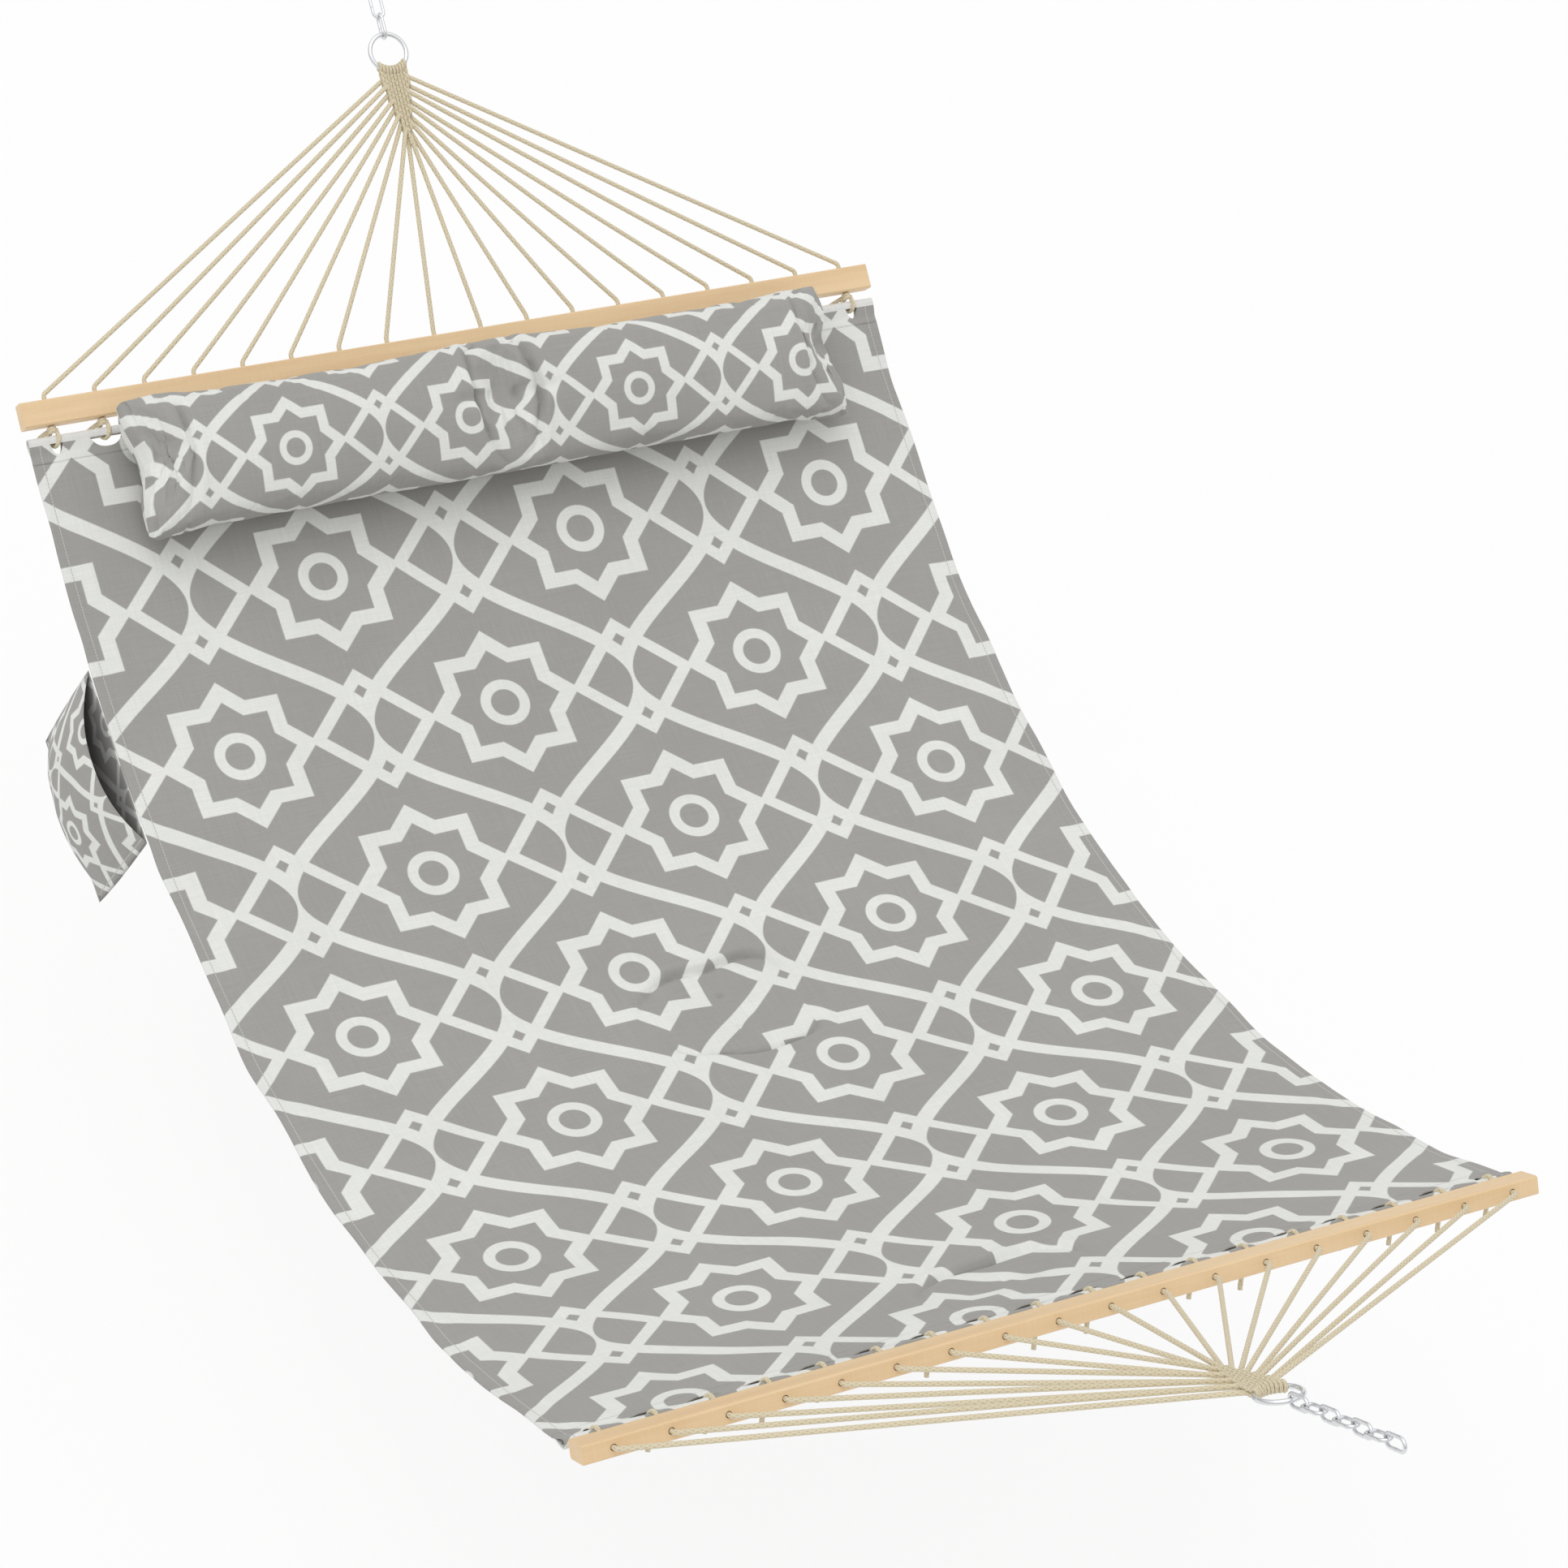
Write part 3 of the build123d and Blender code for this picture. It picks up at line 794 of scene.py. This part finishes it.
def chain_link(end, index):
    """One oval link, with the swell of its weld on one side."""
    half_length = (LINK_INNER_LENGTH - LINK_INNER_WIDTH) / 2
    bend = (LINK_INNER_WIDTH + LINK_WIRE) / 2
    turns = np.linspace(0, pi, 17)
    foot_end = [(half_length + bend * sin(turn), bend * cos(turn)) for turn in turns]
    shares = (0.5, WELD_SHARE, 0, -WELD_SHARE, -0.5)
    half_outline = foot_end + [(half_length * share, -bend) for share in shares]
    outline = half_outline + [(-x, -y) for x, y in half_outline]
    swell = [1.0] * len(outline)
    weld = len(foot_end) + shares.index(0)
    swell[weld] = WELD_SWELL
    middle = index * LINK_PITCH + LINK_INNER_LENGTH / 2
    upright = index % 2 == 0
    line = [at_end(end, middle + x, 0 if upright else y, y if upright else 0) for x, y in outline]
    form = Form()
    form.tube(line, LINK_WIRE / 2 * np.array(swell), 14, closed=True)
    node = f"{end}_hook_link" if index == 0 else f"{end}_chain_link_{index + 1}"
    body = "hook_links" if index == 0 else node
    form.piece(f"{node}_steel", [STEEL_PAINT], body, "zinc_steel", [node])


def ring(end):
    """The welded ring."""
    turns = np.linspace(0, 2 * pi, 72, endpoint=False)
    line = [at_end(end, RING_CENTRE + RING_RADIUS * cos(t), RING_RADIUS * sin(t)) for t in turns]
    form = Form()
    form.tube(line, RING_WIRE / 2, 16, closed=True)
    form.piece(f"{end}_ring_steel", [STEEL_PAINT], "hammock", "zinc_steel", [f"{end}_ring"])


# Bed


def tuft_pull(beside, along, half_width, half_length):
    """How far a sewn tuft draws the cloth in: a hollow round two stitches, with a fold on each side."""
    reach = ((np.abs(beside) / half_width) ** 3 + (np.abs(along) / half_length) ** 3) ** (1 / 3)
    angle = np.arctan2(along / half_length, beside / half_width)
    wander = 1 + 0.06 * np.sin(3 * angle + 0.6) + 0.03 * np.sin(7 * angle + 2.0)
    off = (reach - wander) * half_width
    side = np.abs(np.cos(angle)) ** 1.5
    hollow = smooth_step(0.012, -0.008, off) * (1 - (1 - side) * smooth_step(0.3, 0.9, reach))
    bowl = 1 - smooth_step(0.0, 1.3, reach / wander)
    groove = side * np.exp(-np.abs(off) / GROOVE_WIDTH)
    ridge = side * np.exp(-(((off - RIDGE_PLACE) / RIDGE_WIDTH) ** 2))
    spokes = np.cos(5 * angle + 0.7) * np.exp(-(((reach - 0.5) / 0.3) ** 2))
    off_stitch = np.abs(beside) - TUFT_STITCH_PLACE * half_width
    stitch = np.exp(-((off_stitch / TUFT_STITCH_RADIUS) ** 2 + (along / TUFT_STITCH_RADIUS) ** 2))
    fold = TUFT_HOLLOW * hollow + TUFT_GROOVE * groove - TUFT_RIDGE * ridge
    return fold + TUFT_BOWL * bowl + TUFT_SPOKES * spokes + TUFT_STITCH * stitch


def edge_free(along, across):
    """How freely the bed may wave, from 0 where a hem or the pocket holds its edge to 1."""
    hem_free = smooth_step(BED_END, BED_END - HEM_HOLDS, np.abs(along))
    half = POCKET_LENGTH / 2
    at_pocket = smooth_step(half + POCKET_HOLDS_ALONG, half, np.abs(along - POCKET_MIDDLE))
    return hem_free * (1 - at_pocket * smooth_step(POCKET_HOLDS_ACROSS, 0.0, BED_HALF_WIDTH + across))


def bed_waves(along, across):
    """The cloth's own unevenness: soft waves all over, deeper along the free edges."""
    edge = smooth_step(RIM_REACH, 0.0, BED_HALF_WIDTH - np.abs(across))
    wave = WAVE_HEIGHT * soft_noise(along, across, WAVE_SIZE, seed=3)
    pull = PULL_HEIGHT * soft_noise(along, across * 0.3, PULL_SIZE, seed=5)
    rim = RIM_HEIGHT * edge * soft_noise(along, np.sign(across), RIM_SIZE, seed=7)
    return (wave + pull + rim) * edge_free(along, across)


def half_thickness(inside):
    """Half the bed's thickness at a distance from its free edge."""
    half = EDGE_HALF + (SEWN_EDGE_HALF - EDGE_HALF) * smooth_step(0, EDGE_TURN, inside)
    padded = smooth_step(SEWN_EDGE, SEWN_EDGE + PADDING_RISE, inside)
    return half + (BED_HALF_THICKNESS - SEWN_EDGE_HALF) * padded


def bed():
    """The quilted bed: two covers over padding, sewn flat along the free edges and drawn in by tufts.

    Its mesh is closer round the tufts and along the free edges."""
    near = np.arange(-BED_TUFT_MESH, BED_TUFT_MESH, CLOTH_STEP / 4)
    alongs = np.arange(-BED_END, BED_END, CLOTH_STEP)
    alongs = np.concatenate([alongs, [BED_END], *[tuft + near for tuft in BED_TUFTS]])
    alongs = np.unique(np.round(alongs[np.abs(alongs) <= BED_END], 4))
    rim = np.array([-1, -0.9985, -0.995, -0.988])
    flat = np.arange(-0.98, 0.98, CLOTH_STEP / BED_HALF_WIDTH)
    shares = np.unique(np.round(np.concatenate([rim, -rim, flat, near / BED_HALF_WIDTH]), 4))
    along, share = np.meshgrid(alongs, shares, indexing="ij")
    free = edge_free(along, BED_HALF_WIDTH * share)
    drawn = EDGE_DRAWN * free * soft_noise(along, np.sign(share), EDGE_DRAWN_SIZE, seed=11)
    across = BED_HALF_WIDTH * share + drawn * np.abs(share) ** 8 - EDGE_PULLED_IN * share * free
    inside = BED_HALF_WIDTH * (1 - np.abs(share))
    half = half_thickness(inside)
    waves = bed_waves(along, across)
    pulls = sum(tuft_pull(along - tuft, across, *BED_TUFT_SIZE) for tuft in BED_TUFTS)
    dents = BED_TUFT_DEEPER * free * pulls
    seam = SEAM_DEPTH * np.exp(-(((inside - SEWN_EDGE) / SEAM_WIDTH) ** 2))
    uv = np.stack([across, along], -1)
    form = Form()
    top = on_bed(along, across, waves + half - dents - seam)
    under = on_bed(along, across, waves - half - np.maximum(dents - BED_HALF_THICKNESS, 0) + seam)
    form.slab(top, under, uv, under_kind=1)
    piece = form.piece(
        "quilted_bed", [BED_CLOTH, BACK_CLOTH], "hammock", "printed_cloth",
        ["bed_top_cover", "bed_padding", "bed_under_cover"], weld=1e-5,
    )
    2 * BED_END


def hem_path():
    """The hem's upper line from the bed to the roll's fold, as (out from the bed's end, height)."""
    bed_top = BED_HALF_THICKNESS + HEM_RISE
    pressed = Vector(HEM_PRESSED)
    heart = Vector((SLEEVE_LENGTH - SLEEVE_RADIUS, 0.0))
    away = pressed - heart
    meets = atan2(away.y, away.x) - acos(SLEEVE_RADIUS / away.length)
    arc = [heart + SLEEVE_RADIUS * Vector((cos(a), sin(a))) for a in np.linspace(meets, 0, 12)]
    flat = [(-HEM_OVERLAP, bed_top), (0.0, bed_top), HEM_PRESSED]
    return np.array([*flat, *[tuple(point) for point in arc]])


def slot_share(across):
    """How far a slot behind the roll is open at a place across, from 0 to 1."""
    share = np.zeros_like(across)
    for row, hole in enumerate(HOLES):
        width = SLIT_WIDTH if row in (0, HOLE_COUNT - 1) else SLOT_WIDTH
        reach = np.clip(np.abs(across - hole) / (width / 2), 0, 1)
        share = np.maximum(share, (1 - reach ** SLOT_SQUARENESS) ** SLOT_FULLNESS)
    return share


def hem(end):
    """The hem: a flat sewn strip with a scalloped slot for each loop, and the roll round the dowel."""
    path = hem_path()
    lengths = np.concatenate([[0], np.cumsum(np.linalg.norm(np.diff(path, axis=0), axis=1))])
    acrosses = np.linspace(-BED_HALF_WIDTH, BED_HALF_WIDTH, 700)
    slot_start, slot_end = np.interp((SLOT_START, SLOT_END), path[:, 0], lengths)
    strip = np.outer(np.linspace(0, 1, 9), slot_end - (slot_end - slot_start) * slot_share(acrosses))
    roll = np.outer(np.linspace(slot_end, lengths[-1], 12), np.ones_like(acrosses))
    sign = -1 if end == "head" else 1
    away = along_bed(sign * BED_END, sign)

    def points(reach, face):
        out = np.interp(reach, lengths, path[:, 0])
        thinner = BED_HALF_THICKNESS - half_thickness(BED_HALF_WIDTH - np.abs(acrosses))
        height = np.interp(reach, lengths, path[:, 1]) - thinner * smooth_step(HEM_FLATTENS, 0.0, out)
        pucker = soft_noise(acrosses, 0 * acrosses, PUCKER_SIZE, seed=21)
        pucker = pucker * np.clip(out / PUCKER_START, 0, 1)
        above = face * (height + PUCKER_HEIGHT * pucker)
        return on_bed(np.full_like(out, sign * BED_END), acrosses, above) + out[..., None] * away

    def cloth_place(reach, face):
        beyond = reach - HEM_OVERLAP if face > 0 else 2 * lengths[-1] - reach
        return np.stack([np.broadcast_to(acrosses, reach.shape), sign * (BED_END + beyond)], -1)

    form = Form()
    for face in (1, -1):
        form.grid(points(strip, face), cloth_place(strip, face))
    around = np.concatenate([points(roll, 1), points(roll, -1)[-2::-1]])
    around_place = np.concatenate([cloth_place(roll, 1), cloth_place(roll, -1)[-2::-1]])
    form.grid(around, around_place, kind=1 if end == "head" else 0)
    piece = form.piece(
        f"{end}_hem", [BED_CLOTH, BINDING_CLOTH], "hammock", "printed_cloth", [f"{end}_hem_sleeve"],
        weld=1e-6,
    )
    thicken(piece, CLOTH_THICKNESS)


def thicken(piece, thickness, inner=0, even=True):
    """Gives a sheet its thickness on its inner side, where another of its materials may show.

    Even thickness is left out where two panels meet in a sharp fold."""
    modifier = piece.modifiers.new("thickness", "SOLIDIFY")
    modifier.thickness = thickness
    modifier.offset = -1
    modifier.material_offset = inner
    modifier.use_even_offset = even


# Pillow


def between(points, places, closed=False):
    """Smoothly interpolated rows of points, at places counted in rows."""
    points = np.asarray(points, float)
    count = len(points)
    first = np.floor(places).astype(int)
    t = (places - first).reshape(-1, *[1] * (points.ndim - 1))
    rows = [(first + k) % count if closed else np.clip(first + k, 0, count - 1) for k in (-1, 0, 1, 2)]
    before, start, stop, after = (points[row] for row in rows)
    return 0.5 * (
        2 * start + (stop - before) * t + (2 * before - 5 * start + 4 * stop - after) * t ** 2
        + (3 * start - before - 3 * stop + after) * t ** 3
    )


def swell(cut, sewn, held, most):
    """A closed grid of cloth, sewn in where it is held, and swelled by its filling, at most so far."""
    rows, columns = cut.shape[:2]
    form = Form()
    form.grid(cut, np.zeros((rows, columns + 1, 2)), wrap_columns=True)
    form.cap(range(columns))
    form.cap(range((rows - 1) * columns, rows * columns))
    case = form.shape("filled_case")
    case.shape_key_add(name="cut")
    key = case.shape_key_add(name="sewn")
    key.data.foreach_set("co", np.ravel(sewn))
    key.value = 1.0
    group = case.vertex_groups.new(name="held")
    group.add(np.flatnonzero(held).tolist(), 1.0, "REPLACE")
    settings = case.modifiers.new("filling", "CLOTH").settings
    settings.rest_shape_key = case.data.shape_keys.key_blocks["cut"]
    settings.vertex_group_mass = group.name
    settings.quality = 5
    settings.tension_stiffness = 40
    settings.compression_stiffness = 40
    settings.shear_stiffness = 10
    settings.bending_stiffness = 0.05
    settings.shrink_min = -0.02
    settings.use_pressure = True
    settings.uniform_pressure_force = FILLING_PRESSURE
    settings.effector_weights.gravity = 0
    for step in range(1, FILLING_STEPS + 1):
        bpy.context.scene.frame_set(step)
    swelled = case.evaluated_get(bpy.context.evaluated_depsgraph_get()).data
    points = np.empty(rows * columns * 3)
    swelled.vertices.foreach_get("co", points)
    bpy.context.scene.frame_set(1)
    mesh = case.data
    bpy.data.objects.remove(case)
    bpy.data.meshes.remove(mesh)
    moved = points.reshape(cut.shape) - sewn
    far = np.linalg.norm(moved, axis=-1)
    return sewn + moved * np.minimum(1, most / np.maximum(far, 1e-9))[..., None]


def outward(points):
    """Unit normals of a grid of points that wraps round its columns."""
    along = np.gradient(points, axis=0)
    around = np.roll(points, -1, 1) - np.roll(points, 1, 1)
    normal = np.cross(along, around)
    normal = normal / np.maximum(np.linalg.norm(normal, axis=-1, keepdims=True), 1e-12)
    away = points - points.mean(1, keepdims=True)
    return normal * np.sign((normal * away).sum(-1).mean())


def pillow():
    """The stuffed bolster, sewn flat along each end and drawn in by three tufts along its top."""
    columns = PILLOW_COLUMNS
    section = between(PILLOW_OUTLINE, np.arange(columns) * len(PILLOW_OUTLINE) / columns, closed=True)
    steps = np.linalg.norm(np.diff(np.vstack([section, section[:1]]), axis=0), axis=1)
    rounds = np.concatenate([[0], np.cumsum(steps)])
    top_turn = rounds[np.argmax(section[:, 1])]
    half = PILLOW_LENGTH / 2
    share = np.linspace(-1, 1, PILLOW_ROWS)
    rows = half * share * (1 + PILLOW_CROWDING - PILLOW_CROWDING * share ** 2)
    y, turn = np.meshgrid(rows, rounds[:-1], indexing="ij")
    fall = np.clip((half - np.abs(y)) / PILLOW_END_REACH, 0, 1)
    full = PILLOW_END_FLATNESS + (1 - PILLOW_END_FLATNESS) * np.sqrt(1 - (1 - fall) ** 2)
    wider = PILLOW_END_WIDER * (1 - full) - PILLOW_CORNER_ROUND * (1 - fall) ** 10
    out = section[:, 0] * (1 + wider)
    rise = PILLOW_END_HEIGHT + (section[:, 1] - PILLOW_END_HEIGHT) * full
    drawn = PILLOW_END_DRAWN * (1 - fall) * np.exp(-((out / PILLOW_DRAWN_REACH) ** 2))
    above = BED_HALF_THICKNESS + PILLOW_CLEARANCE + rise
    cut = on_bed(PILLOW_FROM_MIDDLE, y - np.sign(y) * drawn, above)
    cut = cut + out[..., None] * along_bed(PILLOW_FROM_MIDDLE)
    tufts = (-TUFT_SPACING, 0.0, TUFT_SPACING)
    wide, high = TUFT_PULL_SIZE
    pulled = sum(np.exp(-(((y - tuft) / wide) ** 2 + ((turn - top_turn) / high) ** 2)) for tuft in tufts)
    sewn = cut - outward(cut) * (TUFT_DEPTH * pulled)[..., None]
    held = (pulled > TUFT_HELD) | (rise < SEAT_HELD) | (fall < END_HELD)
    low_back = smooth_step(*LOW_BACK_RISE, rise) * smooth_step(*LOW_BACK_OUT, out)
    filled = swell(cut, sewn, held, FILLING_MOST * (1 - LOW_BACK_SPARED * low_back))
    fine_rows = np.linspace(0, len(rows) - 1, PILLOW_FINER_ROWS * len(rows))
    fine_columns = np.arange(PILLOW_FINER_COLUMNS * columns + 1) / PILLOW_FINER_COLUMNS
    filled = between(filled, fine_rows)
    filled = between(filled.transpose(1, 0, 2), fine_columns[:-1], closed=True).transpose(1, 0, 2)
    rows = between(rows, fine_rows)
    rounds = np.interp(fine_columns, np.arange(columns + 1), rounds)
    y, turn = np.meshgrid(rows, rounds[:-1], indexing="ij")
    creases = 0.0
    for tuft, deeper in zip(tufts, TUFT_DEEPER):
        creases = creases + deeper * tuft_pull(y - tuft, turn - top_turn, *TUFT_SIZE)
    creases = creases * smooth_step(0, END_SMOOTH, half - np.abs(y))
    filled = filled - outward(filled) * creases[..., None]
    form = Form()
    uv = np.stack(np.meshgrid(rounds, rows), -1)[..., ::-1]
    form.grid(filled, uv, wrap_columns=True)
    around = len(rounds) - 1
    last = (len(rows) - 1) * around
    form.cap(range(around))
    form.cap(range(last, last + around))
    piece = form.piece("bolster_pillow", [PILLOW_CLOTH], "pillow", "printed_cloth", ["pillow"])


def pillow_tapes():
    """Three woven tapes sewn to the hem under the pillow's back edge."""
    out, rise = np.transpose(TAPE_LINE)
    height = SLEEVE_RADIUS + TAPE_GAP + rise
    sides = np.linspace(-TAPE_HALF_WIDTH, TAPE_HALF_WIDTH, 7)
    uv = np.stack(np.meshgrid(sides, out), -1)
    away = out[:, None, None] * along_bed(-BED_END, -1)
    apart = TAPE_HOLES_APART * HOLE_PITCH
    form = Form()
    for across in (-apart, 0.0, apart):
        under, over = (
            away + on_bed(-BED_END, across + sides[None, :], height[:, None] + lift)
            for lift in (0.0, TAPE_THICKNESS)
        )
        form.slab(over, under, uv)
    form.piece("pillow_tape_set", [BACK_CLOTH], "hammock", "printed_cloth", ["pillow_tapes"], weld=1e-6)


# Pocket


def pocket():
    """The sewn pouch on the bed's edge: a flat back and a bowed front panel, open at the top."""
    half = POCKET_LENGTH / 2
    shares = np.linspace(-1, 1, 45)
    depths = np.linspace(0, 1, 34)
    depth, share = np.meshgrid(depths, shares, indexing="ij")
    bulge = np.interp(depths, *zip(*POCKET_BULGE))
    bow = bulge[:, None] * (1 - np.abs(share) ** POCKET_SQUARENESS)
    mouth_sag = POCKET_MOUTH_SAG * np.clip(1 - depth * 4, 0, 1) * (1 - share ** 2)
    creases = POCKET_CREASE * soft_noise(share * half, depth * POCKET_DEPTH, POCKET_CREASE_SIZE, seed=41)
    creases = creases * (1 - share ** 2) * np.sin(pi * depth)
    origin = on_bed(POCKET_MIDDLE, -BED_HALF_WIDTH - POCKET_GAP, 0.0)
    tangent = along_bed(POCKET_MIDDLE)
    normal = on_bed(POCKET_MIDDLE, 0.0, 1.0) - on_bed(POCKET_MIDDLE, 0.0, 0.0)
    aside = np.array([0.0, -1.0, 0.0])
    narrow = 1 - POCKET_NARROWS * depth ** 3

    def panel(out, sag):
        lowered = -(POCKET_DEPTH * depth + sag)
        return (
            origin + tangent * (half * share * narrow)[..., None] + normal * lowered[..., None]
            + aside * (POCKET_FOOT_OUT * depth + out)[..., None]
        )

    front = panel(bow + creases, mouth_sag)
    back = panel(0 * bow, 0 * bow)
    uv = np.stack([share * half, depth * POCKET_DEPTH], -1)
    form = Form()
    form.grid(front, uv)
    form.grid(back[:, ::-1], uv[:, ::-1])
    piece = form.piece(
        "side_pocket_pouch", [POCKET_CLOTH, LINING_CLOTH_PAINTED_SHADE], "side_pocket", "printed_cloth",
        ["side_pocket"], weld=1e-5,
    )
    if piece.data.polygons[0].normal.y > 0:
        piece.data.flip_normals()
    # The inner side takes the lining cloth with its painted shade
    thicken(piece, CLOTH_THICKNESS, inner=1, even=False)


# Stage


def floor():
    """A plain pale floor that keeps the object's soft shadow."""
    half = FLOOR_SIZE / 2
    mesh = bpy.data.meshes.new("floor")
    corners = [(-half, -half), (half, -half), (half, half), (-half, half)]
    mesh.from_pydata([(x + MIDDLE_X, y, FLOOR_HEIGHT) for x, y in corners], [], [(0, 1, 2, 3)])
    plane = bpy.data.objects.new("floor", mesh)
    bpy.context.scene.collection.objects.link(plane)
    paint = Paint("pale_floor", roughness=0.9)
    paint.shader.inputs["Base Color"].default_value = FLOOR_PAINT
    nodes, links = paint.tree.nodes, paint.tree.links
    path = nodes.new("ShaderNodeLightPath")
    seen = Field(paint.tree, path.outputs["Is Camera Ray"])
    for ray in ("Is Glossy Ray", "Is Transmission Ray"):
        seen = seen.math("MAXIMUM", Field(paint.tree, path.outputs[ray]))
    glow = nodes.new("ShaderNodeEmission")
    mix = nodes.new("ShaderNodeMixShader")
    links.new((seen * FLOOR_GLOW).socket, mix.inputs[0])
    links.new(paint.shader.outputs[0], mix.inputs[1])
    links.new(glow.outputs[0], mix.inputs[2])
    links.new(mix.outputs[0], nodes["Material Output"].inputs["Surface"])
    mesh.materials.append(paint.material)


def light():
    """A bright even surround, which metal sees darker below than above, and one broad lamp overhead."""
    world = bpy.data.worlds.new("studio")
    bpy.context.scene.world = world
    world.use_nodes = True
    tree = world.node_tree
    path = tree.nodes.new("ShaderNodeLightPath")
    seen = Field(tree, path.outputs["Is Camera Ray"])
    seen = seen.math("MAXIMUM", Field(tree, path.outputs["Is Transmission Ray"]))
    coordinates = tree.nodes.new("ShaderNodeTexCoord")
    split = tree.nodes.new("ShaderNodeSeparateXYZ")
    tree.links.new(coordinates.outputs["Generated"], split.inputs[0])
    rise = Field(tree, split.outputs[2]).step(-0.15, 0.75)
    shiny = Field(tree, path.outputs["Is Glossy Ray"]) * (rise * SHINE_RISE + SHINE_BELOW - AMBIENT)
    strength = (shiny + AMBIENT).math("MAXIMUM", seen)
    tree.links.new(strength.socket, tree.nodes["Background"].inputs["Strength"])
    tree.nodes["Background"].inputs["Color"].default_value = (1, 1, 1, 1)
    lamp = bpy.data.lights.new("broad_lamp", "SUN")
    lamp.energy = SUN_STRENGTH
    lamp.angle = SUN_SPREAD
    sun = bpy.data.objects.new("broad_lamp", lamp)
    sun.rotation_mode = "QUATERNION"
    sun.rotation_quaternion = SUN_FROM.to_track_quat("Z", "Y")
    bpy.context.scene.collection.objects.link(sun)


def camera():
    """The picture's view."""
    back = Vector((
        sin(CAMERA_AZIMUTH) * cos(CAMERA_ELEVATION),
        -cos(CAMERA_AZIMUTH) * cos(CAMERA_ELEVATION),
        sin(CAMERA_ELEVATION),
    ))
    level = Vector((0, 0, 1)).cross(back).normalized()
    right = Matrix.Rotation(CAMERA_ROLL, 3, back) @ level
    up = back.cross(right)
    data = bpy.data.cameras.new("camera")
    data.lens = CAMERA_LENS
    data.sensor_width = SENSOR
    view = bpy.data.objects.new("camera", data)
    place = Vector((MIDDLE_X, 0, HEAD_BAR.z)) + CAMERA_PLACE
    view.matrix_world = Matrix.Translation(place) @ Matrix((right, up, back)).transposed().to_4x4()
    bpy.context.scene.collection.objects.link(view)
    bpy.context.scene.camera = view


def finish_solids():
    """Materials for the solids that show as they are."""
    for end in ENDS:
        for node, material in (("spreader_bar", BAR_WOOD), ("dowel", DOWEL_WOOD)):
            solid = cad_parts[f"{end}_{node}"]
            solid.data.materials.clear()
            solid.data.materials.append(material)


camera()
light()
floor()
finish_solids()
pillow()
for end in ENDS:
    for row in range(HOLE_COUNT // 2):
        for side in (1, -1):
            fan_leg(end, row, side)
    hitches(end)
    clew(end)
    ring(end)
    for index in range(LINK_COUNT):
        chain_link(end, index)
    hem(end)
bed()
pillow_tapes()
pocket()

bpy.context.scene.view_settings.view_transform = "Standard"
